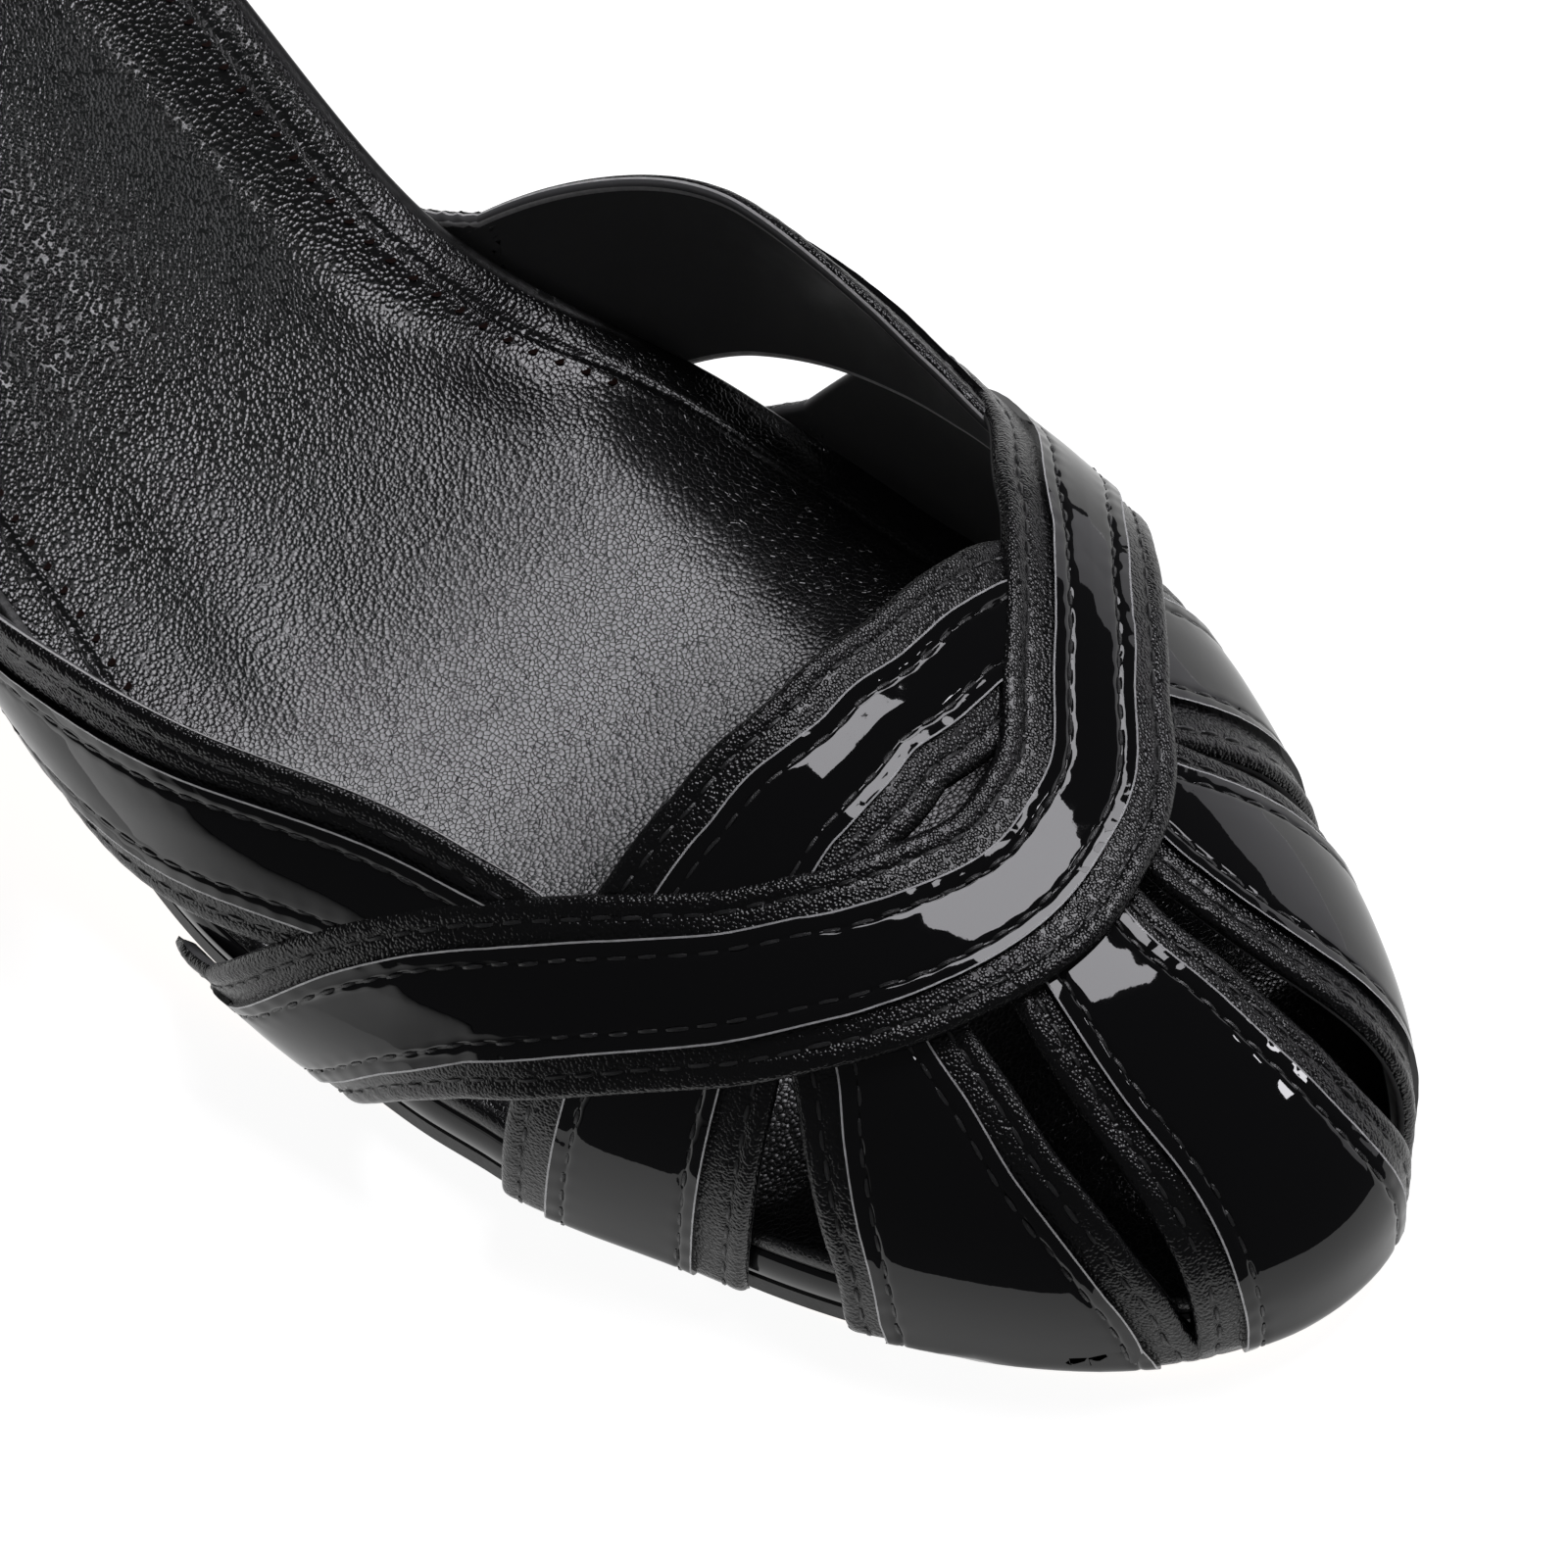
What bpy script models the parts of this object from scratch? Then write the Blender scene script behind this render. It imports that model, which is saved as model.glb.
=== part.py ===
"""Strappy round-toe leather pump, left shoe, standing on its forepart and its heel.

The x axis runs from heel to toe, y to the wearer's left (the lateral side) and z up from the floor.
The tables are in millimetres.  The origin is on the floor, under the ball of the foot.

Every piece is worked out from one last (the foot form that a shoe is made on).  A place on the last
is a pair (q, t).  q goes round the feather line, where the upper meets the sole: 0 at the toe tip,
-1 and 1 at the ball on the medial and lateral side, beyond that along the waist.  t climbs from the
feather line (0) to the crest of the instep (1).  Ahead of the ball the lines of equal q meet at a
pole over the ball, inside the throat.
"""
import math

import bmesh
import bpy
import numpy as np

MM = 0.001

# Driving sizes of the last
TOE_REACH = 65.5          # ball line to toe tip
BALL_HALF_WIDTH = 37.5
LATERAL_TAPER = 0.085     # share by which the lateral toe is drawn in, most half way to the ball
MEDIAL_JOINT = 2.4        # how far the big toe's joint stands out at the ball
JOINT_TURN = math.radians(72)     # where it begins, from the toe tip
BULGE = 1.2               # belly of every section, under half height
BELLY_PACE = 1.6          # the belly ends at t = 1 / BELLY_PACE
LOW_BELLY_PACE = 2.2
LOW_BELLY_POWER = 0.7     # below 1 moves the medial overhang down
HEEL_SEAT_X = -122.0      # where the rounded back of the heel seat begins
HEEL_SEAT_LENGTH = 28.0
HEEL_SEAT_HALF_WIDTH = 25.0
Q_PACE = TOE_REACH*math.pi/2      # millimetres of length per unit of q behind the ball
SKIRT = 60.0              # height per unit of t below the feather line, where straps are trimmed

# Sections of the last.  square is the exponent of the section's curve, 2 for an ellipse.
# The medial overhang leans out low down, the lateral flare leans out at half height.
LAST_COLUMNS = ("x", "centre", "medial", "lateral", "feather", "crest", "square", "overhang", "flare")
LAST_SECTIONS = np.array((
    (-150, 2.0, 25.0, 25.0, 65.0, 110, 2.2, 0.0, 0.0),
    (-120, 2.0, 25.0, 25.0, 57.0, 100, 2.2, 0.0, 0.0),
    (-90, 4.0, 26.0, 27.3, 40.0, 90, 2.2, 2.0, 0.0),
    (-60, 4.5, 34.5, 25.4, 19.0, 75, 2.2, 3.4, 1.4),
    (-30, 2.5, 40.0, 35.6, 6.0, 57, 2.2, 3.2, 3.1),
    (-15, 1.5, 40.2, 37.3, 3.0, 50, 2.2, 1.6, 3.2),
    (-8, 1.0, 40.2, 37.4, 2.5, 47.4, 2.2, 1.0, 2.5),
    (0, 0.5, 39.9, 37.5, 2.5, 44.6, 2.2, 0.6, 1.2),
    (20, -1.0, 39.9, 37.5, 2.5, 36.8, 2.5, 0.0, 0.0),
    (36, -2.3, 39.9, 37.5, 2.8, 31.6, 2.75, 0.0, 0.0),
    (45, -3.0, 39.9, 37.5, 3.1, 31.0, 2.85, 0.0, 0.0),
    (65.5, -5.7, 39.9, 37.5, 4.5, 31.5, 2.9, 0.0, 0.0),
), float)

# Straps: centre line on the last, width of the nappa band and of the patent strip along it.
# A centre line runs on below 0, and the strap is cut off just below the feather line.
STRAP_COLUMNS = ("q", "t", "band", "patent")
STRAPS = {
    "front": (
        (-1.30, -0.14, 18.0, 10.2), (-1.215, 0.00, 17.5, 10.0), (-1.09, 0.20, 16.5, 9.5),
        (-0.955, 0.35, 16.0, 8.8), (-0.81, 0.463, 15.5, 8.5), (-0.655, 0.585, 16.0, 8.5),
        (-0.46, 0.69, 16.5, 8.4), (-0.225, 0.75, 16.5, 8.2), (0.02, 0.78, 16.0, 7.8),
        (0.23, 0.77, 15.5, 7.4), (0.44, 0.74, 15.0, 7.2), (0.62, 0.68, 15.0, 7.2),
        (0.805, 0.56, 15.5, 7.6), (0.955, 0.355, 16.5, 8.6), (1.07, 0.172, 21.0, 9.9),
        (1.178, 0.00, 19.4, 10.0), (1.265, -0.14, 19.8, 10.2)),
    "throat": (
        (-0.875, -0.16, 23.5, 14.0), (-0.87, 0.00, 23.0, 13.8), (-0.86, 0.185, 22.5, 13.2),
        (-0.85, 0.315, 21.5, 12.6), (-0.83, 0.48, 19.5, 11.0), (-0.77, 0.645, 17.5, 9.6),
        (-0.68, 0.77, 16.5, 8.8), (-0.52, 0.86, 16.0, 7.8), (-0.33, 0.903, 15.5, 7.5),
        (-0.09, 0.915, 15.5, 7.4), (0.13, 0.909, 15.5, 7.4), (0.31, 0.885, 15.5, 7.4),
        (0.53, 0.80, 16.5, 8.0), (0.595, 0.695, 18.5, 9.5), (0.62, 0.605, 20.0, 11.0),
        (0.655, 0.42, 21.5, 12.5), (0.668, 0.21, 22.5, 13.5), (0.665, 0.00, 23.0, 14.0),
        (0.66, -0.16, 23.5, 14.2)),
    "toe_medial": (
        (-0.62, 0.585, 14.0, 7.0), (-0.60, 0.505, 15.0, 7.4), (-0.583, 0.41, 18.0, 10.5),
        (-0.56, 0.255, 22.0, 14.3), (-0.515, 0.07, 27.5, 20.0), (-0.49, 0.00, 29.0, 21.5),
        (-0.45, -0.16, 30.0, 23.0)),
    "toe_middle": (
        (-0.175, 0.72, 14.5, 9.0), (-0.185, 0.645, 16.0, 9.8), (-0.163, 0.515, 19.5, 12.6),
        (-0.135, 0.39, 22.0, 14.0), (-0.103, 0.145, 24.0, 16.2), (-0.08, 0.00, 25.0, 17.0),
        (-0.07, -0.16, 25.5, 17.5)),
    "toe_lateral": (
        (0.245, 0.75, 12.5, 6.3), (0.273, 0.685, 13.5, 7.1), (0.287, 0.595, 17.5, 11.0),
        (0.30, 0.505, 21.0, 14.2), (0.323, 0.245, 25.0, 17.5), (0.33, 0.00, 27.0, 19.0),
        (0.325, -0.16, 27.5, 19.5)),
    "side_medial": (
        (-1.80, -0.22, 19.2, 10.2), (-1.62, 0.006, 19.2, 10.2), (-1.53, 0.064, 18.8, 10.0),
        (-1.43, 0.139, 18.2, 9.8), (-1.33, 0.206, 17.5, 9.6), (-1.225, 0.267, 16.5, 9.4),
        (-1.12, 0.315, 15.5, 9.0), (-1.02, 0.342, 14.0, 8.4), (-0.93, 0.36, 12.0, 7.6)),
    "side_lateral": (
        (1.62, -0.22, 23.2, 11.6), (1.475, 0.00, 22.8, 11.4), (1.405, 0.10, 21.8, 11.2),
        (1.325, 0.187, 20.8, 10.8), (1.238, 0.257, 20.0, 10.6), (1.135, 0.308, 18.2, 10.2),
        (1.035, 0.335, 14.5, 9.0), (0.95, 0.355, 12.0, 8.0)),
}
# Patent strips: strap, and which of its runs outside the front band, counted along the centre line
PATENT_STRIPS = {
    "patent_front": ("front", 0),
    "patent_throat": ("throat", 1),
    "patent_toe_medial_outer": ("throat", 0),
    "patent_toe_medial_inner": ("toe_medial", 0),
    "patent_toe_middle": ("toe_middle", 0),
    "patent_toe_lateral_inner": ("toe_lateral", 0),
    "patent_toe_lateral_outer": ("throat", 2),
    "patent_side_medial": ("side_medial", 0),
    "patent_side_lateral": ("side_lateral", 0),
}
STRAP_WALL = 1.5          # folded nappa
FRONT_WALL = 1.6
FRONT_LIFT = 1.1          # the front band lies over the others and bites into them
FRONT_FOOT_LIFT = 0.5     # at the sole, where the side straps end under it
FRONT_LIFT_T = 0.22       # it comes down to the sole within this t
TUCK_LIFT = 0.25          # strap ends under the front band ride up on their neighbours
TUCKED_SHARE = 0.3        # share of a strap's length over which it rides up
PATENT_WALL = 0.7
GAP = 0.3                 # between pieces that lie on each other
STRIP_STOP = 0.45         # patent strips end this far from the front band's edge
STATION = 3.8             # length of a facet along a strap
NARROW_COLUMNS = 3        # lines along a patent strip
WIDE_COLUMNS = 5
WIDE_STRIP = 12.0         # strips wider than this get the wide count
BLOCK_REACH = 6.0         # of the block that ends the strips, off the last
LINE_SAMPLES = 240
WALK_STEPS = 12
SLOPE_STEP = 0.004        # step in q and t for slopes of the last
LEVEL_T = 0.08            # straps stand square to the sole's edge below this t
TRIM_HEIGHT = -1.2        # they end below the feather line, outside the outsole
TRIM_REACH = 30.0         # the trimming block stands out round the sole
TRIM_DEPTH = 60.0

# Sole, heights above or below the feather line
OUTSOLE_THICKNESS = 2.2
OUTSOLE_OFFSET = -0.6     # set back, so that the straps roll down over its edge
OUTSOLE_END_X = -102.6
RIM_HEIGHT = 3.6
RIM_OFFSET = -0.3
INSOLE_HEIGHT = 2.1
INSOLE_EDGE = 0.7
TOE_ROWS = 15
SIDE_ROWS = 17
HEEL_ROWS = 9
TIP_ANGLE = 3.0           # degrees, where the toe and heel rows begin
EDGE_ANGLE = 60.0         # edges sharper than this are rounded on the insole
SHARP_ANGLE = 40.0        # edges sharper than this are shaded sharp

# Heel, top piece and counter
HEEL_SEAT_OFFSET = 0.8    # of the heel beyond the feather line
HEEL_BREAST = 19.0        # ahead of HEEL_SEAT_X
HEEL_TIP_X = -129.0
HEEL_TIP_LENGTH = 7.0     # half sizes of the tip
HEEL_TIP_WIDTH = 6.5
HEEL_TAPER = 2.7
HEEL_RINGS = 10
HEEL_SIDES = 28
BREAST_SQUARE = 3.2       # exponent of the front half of a heel ring
TOP_PIECE_HEIGHT = 5.0
COUNTER_WALL = 1.8
COUNTER_FRONT_X = -84.0
COUNTER_BACK_HEIGHT = 48.0
COUNTER_FRONT_HEIGHT = 7.0
COUNTER_STRAIGHT = 0.36   # share of each half of the counter that runs along the side
COUNTER_STATIONS = 33
COUNTER_LEVELS = 9
# Lean of the counter: height, and how far it leans in
COUNTER_LEAN = np.array(((0, 0.0), (12, -1.4), (24, -0.6), (36, 2.4), (48, 6.0)), float)

NAPPA_BLACK = (0.012, 0.012, 0.013, 1.0)
PATENT_BLACK = (0.006, 0.006, 0.007, 1.0)
INSOLE_BLACK = (0.017, 0.017, 0.019, 1.0)
SOLE_TAN = (0.30, 0.19, 0.10, 1.0)
RUBBER_BLACK = (0.015, 0.015, 0.015, 1.0)


def smooth_through(keys, values, x):
    """Monotone cubic through the pairs of keys and values."""
    spans = np.diff(keys)
    slopes = np.diff(values)/spans
    tangents = np.zeros_like(values)
    tangents[0] = slopes[0]
    tangents[-1] = slopes[-1]
    rising = slopes[1:]*slopes[:-1] > 0
    near = 2*spans[1:] + spans[:-1]
    far = spans[1:] + 2*spans[:-1]
    before = slopes[:-1][rising]
    after = slopes[1:][rising]
    tangents[1:-1][rising] = (near + far)[rising]/(near[rising]/before + far[rising]/after)
    x = np.clip(np.asarray(x, float), keys[0], keys[-1])
    k = np.clip(np.searchsorted(keys, x) - 1, 0, len(spans) - 1)
    return hermite((x - keys[k])/spans[k], spans[k], values[k], values[k + 1], tangents[k], tangents[k + 1])


def hermite(s, span, start, end, start_slope, end_slope):
    return ((2*s**3 - 3*s**2 + 1)*start + (s**3 - 2*s**2 + s)*span*start_slope
            + (3*s**2 - 2*s**3)*end + (s**3 - s**2)*span*end_slope)


def smooth_step(s):
    s = np.clip(s, 0, 1)
    return s*s*(3 - 2*s)


def section(name, x):
    """One column of the last's table at x."""
    return smooth_through(LAST_SECTIONS[:, 0], LAST_SECTIONS[:, LAST_COLUMNS.index(name)], x)


def toe_outline(turn, offset):
    """Feather line ahead of the ball, as x and distance from the centre line, moved out by offset."""
    taper = 1 - LATERAL_TAPER*np.sin(2*np.clip(turn, 0, np.pi/2))**2
    joint = MEDIAL_JOINT*smooth_step((-turn - JOINT_TURN)/(np.pi/2 - JOINT_TURN))
    half = BALL_HALF_WIDTH*taper + joint + offset
    return (TOE_REACH*taper + offset)*np.cos(turn), half*np.sin(turn)


def bare_last(q, t):
    """Point of the last at (q, t)."""
    q, t = np.broadcast_arrays(np.asarray(q, float), np.asarray(t, float))
    ahead = np.abs(q) <= 1
    turn = np.clip(q, -1, 1)*np.pi/2
    foot_x = np.where(ahead, TOE_REACH*np.cos(turn), -Q_PACE*(np.abs(q) - 1))
    behind = np.minimum(foot_x, 0)
    half = np.where(q < 0, section("medial", behind), section("lateral", behind))
    toe_x, toe_y = toe_outline(turn, 0.0)
    reach_x = np.where(ahead, toe_x, 0.0)
    reach_y = np.where(ahead, toe_y, np.sign(q)*half)
    power = 2/section("square", foot_x)
    angle = np.clip(t, 0, 1)*np.pi/2
    belly = np.sin(np.pi*np.clip(BELLY_PACE*t, 0, 1))
    low_belly = np.sin(np.pi*np.clip(LOW_BELLY_PACE*t, 0, 1)**LOW_BELLY_POWER)
    lean = np.where(q < 0, section("overhang", foot_x)*low_belly, section("flare", foot_x)*belly)
    share = np.cos(angle)**power + (BULGE*belly + lean)/np.hypot(reach_x, reach_y)
    x = np.where(ahead, reach_x*share, foot_x)
    y = section("centre", x) + reach_y*share
    foot = section("feather", x)
    z = foot + (section("crest", x) - foot)*np.sin(angle)**power + SKIRT*np.minimum(t, 0)
    return np.stack([x, y, z], -1)


def last_frame(q, t):
    """Slopes of the last along q and t, and its outward normal."""
    along_q = (bare_last(q + SLOPE_STEP, t) - bare_last(q - SLOPE_STEP, t))/(2*SLOPE_STEP)
    along_t = (bare_last(q, t + SLOPE_STEP) - bare_last(q, t - SLOPE_STEP))/(2*SLOPE_STEP)
    normal = np.cross(along_q, along_t)
    return along_q, along_t, normal/np.maximum(np.linalg.norm(normal, axis=-1, keepdims=True), 1e-9)


def on_last(q, t, lift):
    """Point lifted off the last along its normal, which is turned level towards the feather line."""
    normal = last_frame(q, np.maximum(t, 2*SLOPE_STEP))[2]
    normal[..., 2] *= smooth_step(t/LEVEL_T)
    normal /= np.linalg.norm(normal, axis=-1, keepdims=True)
    return bare_last(q, t) + normal*np.asarray(lift)[..., None]


def walk_across(q, t, way, distance):
    """Walk a signed distance over the last from (q, t), starting in the direction way."""
    for _ in range(WALK_STEPS):
        along_q, along_t, normal = last_frame(q, t)
        way = way - normal*(way*normal).sum(-1, keepdims=True)
        way = way/np.linalg.norm(way, axis=-1, keepdims=True)
        qq = (along_q*along_q).sum(-1)
        qt = (along_q*along_t).sum(-1)
        tt = (along_t*along_t).sum(-1)
        way_q = (way*along_q).sum(-1)
        way_t = (way*along_t).sum(-1)
        area = qq*tt - qt*qt
        q = q + (tt*way_q - qt*way_t)/area*distance/WALK_STEPS
        t = t + (qq*way_t - qt*way_q)/area*distance/WALK_STEPS
    return q, t


def centre_line(strap):
    """Samples of a strap's table along its centre line, one row each, columns as in STRAP_COLUMNS."""
    rows = np.array(STRAPS[strap], float)
    steps = np.linalg.norm(np.diff(bare_last(rows[:, 0], rows[:, 1]), axis=0), axis=1)
    keys = np.concatenate([[0.0], np.cumsum(steps)])
    slopes = np.gradient(rows, keys, axis=0)
    x = np.linspace(0, keys[-1], LINE_SAMPLES)
    k = np.clip(np.searchsorted(keys, x) - 1, 0, len(steps) - 1)
    span = (keys[k + 1] - keys[k])[:, None]
    return hermite((x - keys[k])[:, None]/span, span, rows[k], rows[k + 1], slopes[k], slopes[k + 1])


def strap_lines(strap, width, shares):
    """Lines along a strap at the given shares of its half width, each LINE_SAMPLES places (q, t)."""
    centre = centre_line(strap)
    q = centre[:, 0]
    t = centre[:, 1]
    half = centre[:, STRAP_COLUMNS.index(width)]/2
    run = np.gradient(bare_last(q, t), axis=0)
    side = np.cross(last_frame(q, t)[2], run)
    return [walk_across(q, t, side, share*half) for share in shares]


def strap_grid(strap):
    """Places (q, t) of a strap's facets and their share of its length.

    A row crosses the strap.  The first and last column are the band's edges, those between belong to
    the patent strip too, so that band and strip have parallel facets.
    """
    rows = np.array(STRAPS[strap], float)
    columns = WIDE_COLUMNS if rows[:, STRAP_COLUMNS.index("patent")].max() > WIDE_STRIP else NARROW_COLUMNS
    near, far = strap_lines(strap, "band", (-1, 1))
    lines = [near] + strap_lines(strap, "patent", np.linspace(-1, 1, columns)) + [far]
    path = bare_last(*lines[len(lines)//2])
    stations = round(np.linalg.norm(np.diff(path, axis=0), axis=1).sum()/STATION) + 1
    picked = np.linspace(0, LINE_SAMPLES - 1, stations).round().astype(int)
    q = np.stack([line[0][picked] for line in lines], axis=1)
    t = np.stack([line[1][picked] for line in lines], axis=1)
    share = np.repeat(picked[:, None]/(LINE_SAMPLES - 1), len(lines), axis=1)
    return q, t, share


def covered_by_front(q, t):
    """Which places lie under the front band."""
    front = centre_line("front")
    spine = bare_last(front[:, 0], front[:, 1])
    away = np.linalg.norm(bare_last(q, t)[:, None, :] - spine[None, :, :], axis=-1)
    nearest = away.argmin(axis=1)
    return away[np.arange(len(q)), nearest] < front[nearest, STRAP_COLUMNS.index("band")]/2


def strip_rows(strap, q, t, run):
    """Rows of one patent strip: a stretch of the strap that shows, and half of what the front band hides."""
    if strap == "front":
        return slice(None)
    middle = q.shape[1]//2
    shows = np.concatenate([[False], ~covered_by_front(q[:, middle], t[:, middle]), [False]]).astype(int)
    starts = np.flatnonzero(np.diff(shows) == 1)
    ends = np.flatnonzero(np.diff(shows) == -1)
    before = ends[run - 1] if run > 0 else 0
    after = starts[run + 1] if run + 1 < len(starts) else len(q)
    return slice((before + starts[run])//2, (ends[run] + after + 1)//2)


def underside_lift(strap, t, share):
    """How far a strap's lining lies off the last: little at the sole, more where it crosses others."""
    if strap == "front":
        return FRONT_FOOT_LIFT + (FRONT_LIFT - FRONT_FOOT_LIFT)*smooth_step(t/FRONT_LIFT_T)
    if strap == "throat":
        return np.zeros_like(t)
    from_tuck = share if strap.startswith("toe") else 1 - share
    return TUCK_LIFT*smooth_step(1 - from_tuck/TUCKED_SHARE)


def material(name, colour, roughness):
    made = bpy.data.materials.new(name)
    made.use_nodes = True
    shader = made.node_tree.nodes["Principled BSDF"]
    shader.inputs["Base Color"].default_value = colour
    shader.inputs["Roughness"].default_value = roughness
    made.diffuse_color = colour
    return made


def add_object(name, mesh, finish, collection):
    mesh.materials.append(finish)
    made = bpy.data.objects.new(name, mesh)
    collection.objects.link(made)
    return made


def thick_sheet(name, lower, upper, split=False):
    """Closed mesh between two grids of points of one size, the upper one on the outer side.

    With split, facets are cut along the same diagonal, so that sheets on each other stay parallel.
    """
    rows, columns = lower.shape[:2]
    points = np.concatenate([lower.reshape(-1, 3), upper.reshape(-1, 3)])*MM
    top = rows*columns

    def at(row, column):
        return row*columns + column

    faces = []
    for row in range(rows - 1):
        for column in range(columns - 1):
            loop = (at(row, column), at(row + 1, column), at(row + 1, column + 1), at(row, column + 1))
            for piece in ((loop[:3], (loop[0], *loop[2:])) if split else (loop,)):
                faces.append(piece)
                faces.append(tuple(top + k for k in reversed(piece)))
    rim = [at(row, 0) for row in range(rows)]
    rim += [at(rows - 1, column) for column in range(1, columns)]
    rim += [at(row, columns - 1) for row in range(rows - 2, -1, -1)]
    rim += [at(0, column) for column in range(columns - 2, 0, -1)]
    for here, there in zip(rim, rim[1:] + rim[:1]):
        faces.append((there, here, top + here, top + there))
    mesh = bpy.data.meshes.new(name)
    mesh.from_pydata(points.tolist(), [], faces)
    point_outward(mesh)
    return mesh


def point_outward(mesh):
    body = bmesh.new()
    body.from_mesh(mesh)
    bmesh.ops.recalc_face_normals(body, faces=body.faces)
    body.to_mesh(mesh)
    body.free()
    mesh.shade_smooth()
    mesh.set_sharp_from_angle(angle=math.radians(SHARP_ANGLE))


def use_boolean(target, other, operation):
    step = target.modifiers.new(operation.lower() + "_" + other.name, "BOOLEAN")
    step.operation = operation
    step.solver = "EXACT"
    step.object = other


def add_cutter(name, mesh, finish, cutters):
    made = add_object(name, mesh, finish, cutters)
    made.hide_render = True
    made.display_type = "WIRE"
    return made


def build_strap(strap):
    """Nappa band of one strap."""
    q, t, share = strap_grid(strap)
    low = underside_lift(strap, t, share)
    wall = FRONT_WALL if strap == "front" else STRAP_WALL
    return thick_sheet("band_" + strap, on_last(q, t, low), on_last(q, t, low + wall), split=True)


def front_block():
    """Block that holds the front band and the gap beside it, to end the patent strips that pass under it."""
    q, t, share = strap_grid("front")
    run = np.gradient(bare_last(q, t), axis=0)
    side = np.cross(last_frame(q, t)[2], run)
    spread = np.zeros_like(q)
    spread[:, 0] = -STRIP_STOP
    spread[:, -1] = STRIP_STOP
    q, t = walk_across(q, t, side, spread)
    deep = np.full_like(t, -BLOCK_REACH)
    high = np.full_like(t, BLOCK_REACH)
    return thick_sheet("front_block", on_last(q, t, deep), on_last(q, t, high))


def build_upper(parts, cutters, trim, finish):
    """The bands joined into one solid where they pass under the front band, trimmed at the sole."""
    upper = add_object("upper", build_strap("front"), finish, parts)
    for strap in STRAPS:
        if strap != "front":
            use_boolean(upper, add_cutter("band_" + strap, build_strap(strap), finish, cutters), "UNION")
    use_boolean(upper, trim, "DIFFERENCE")


def build_patent_strips(parts, cutters, trim, finish):
    """Patent strips on the bands, stopped short of the front band that covers them."""
    block = add_cutter("front_block", front_block(), finish, cutters)
    for name, (strap, run) in PATENT_STRIPS.items():
        q, t, share = strap_grid(strap)
        rows = strip_rows(strap, q, t, run)
        q, t, share = (places[rows, 1:-1] for places in (q, t, share))
        wall = FRONT_WALL if strap == "front" else STRAP_WALL
        low = underside_lift(strap, t, share) + wall + GAP
        strip_mesh = thick_sheet(name, on_last(q, t, low), on_last(q, t, low + PATENT_WALL), split=True)
        strip = add_object(name, strip_mesh, finish, parts)
        if t.min() < 0:
            use_boolean(strip, trim, "DIFFERENCE")
        if strap != "front":
            use_boolean(strip, block, "DIFFERENCE")


def sole_edge(side, offset, end_x=None):
    """x and y of the sole's outline on one side (-1 medial, 1 lateral), from the toe tip to the back."""
    toe_x, toe_half = toe_outline(side*np.radians(np.linspace(TIP_ANGLE, 90, TOE_ROWS)), offset)
    side_x = np.linspace(0, HEEL_SEAT_X if end_x is None else end_x, SIDE_ROWS + 1)[1:]
    side_half = side*(section("medial" if side < 0 else "lateral", side_x) + offset)
    x = np.concatenate([toe_x, side_x])
    half = np.concatenate([toe_half, side_half])
    if end_x is None:
        heel = np.radians(np.linspace(0, 90 - TIP_ANGLE, HEEL_ROWS + 1)[1:])
        x = np.concatenate([x, HEEL_SEAT_X - (HEEL_SEAT_LENGTH + offset)*np.sin(heel)])
        half = np.concatenate([half, side*(HEEL_SEAT_HALF_WIDTH + offset)*np.cos(heel)])
    return x, section("centre", x) + half


def sole_plate(name, offset, bottom, top, end_x=None):
    """Plate that follows the feather line's rise, from bottom to top above it."""
    edges = [sole_edge(side, offset, end_x) for side in (-1, 1)]

    def grid(height):
        return np.stack([np.stack([x, y, section("feather", x) + height], -1) for x, y in edges], axis=1)

    return thick_sheet(name, grid(bottom), grid(top))


def build_sole(parts, finishes):
    outsole_mesh = sole_plate("outsole", OUTSOLE_OFFSET, -GAP - OUTSOLE_THICKNESS, -GAP, OUTSOLE_END_X)
    add_object("outsole", outsole_mesh, finishes["sole"], parts)
    rim_mesh = sole_plate("midsole_rim", RIM_OFFSET, 0.0, RIM_HEIGHT)
    add_object("midsole_rim", rim_mesh, finishes["patent"], parts)
    insole_low = RIM_HEIGHT + GAP
    insole_mesh = sole_plate("insole", RIM_OFFSET, insole_low, insole_low + INSOLE_HEIGHT)
    insole = add_object("insole", insole_mesh, finishes["insole"], parts)
    edge = insole.modifiers.new("padded_edge", "BEVEL")
    edge.width = INSOLE_EDGE*MM
    edge.segments = 2
    edge.limit_method = "ANGLE"
    edge.angle_limit = math.radians(EDGE_ANGLE)


def heel_ring(centre_x, front, back, half_width):
    """Level ring of points: a squared front half and a rounded back half."""
    angle = np.linspace(0, 2*np.pi, HEEL_SIDES, endpoint=False)
    cosine = np.cos(angle)
    sine = np.sin(angle)
    power = np.where(cosine > 0, 2/BREAST_SQUARE, 1.0)
    reach = np.where(cosine > 0, front, back)
    x = centre_x + reach*np.sign(cosine)*np.abs(cosine)**power
    y = section("centre", np.full_like(x, HEEL_SEAT_X)) + half_width*np.sign(sine)*np.abs(sine)**power
    return x, y


def ring_loft(name, rings):
    """Closed mesh through rings of points with one count, capped at both ends."""
    sides = rings[0].shape[0]
    points = np.concatenate(rings)*MM
    faces = [tuple(range(sides)), tuple(range(len(points) - sides, len(points)))]
    for level in range(len(rings) - 1):
        base = level*sides
        for k in range(sides):
            after = (k + 1) % sides
            faces.append((base + k, base + after, base + sides + after, base + sides + k))
    mesh = bpy.data.meshes.new(name)
    mesh.from_pydata(points.tolist(), [], faces)
    point_outward(mesh)
    return mesh


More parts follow.
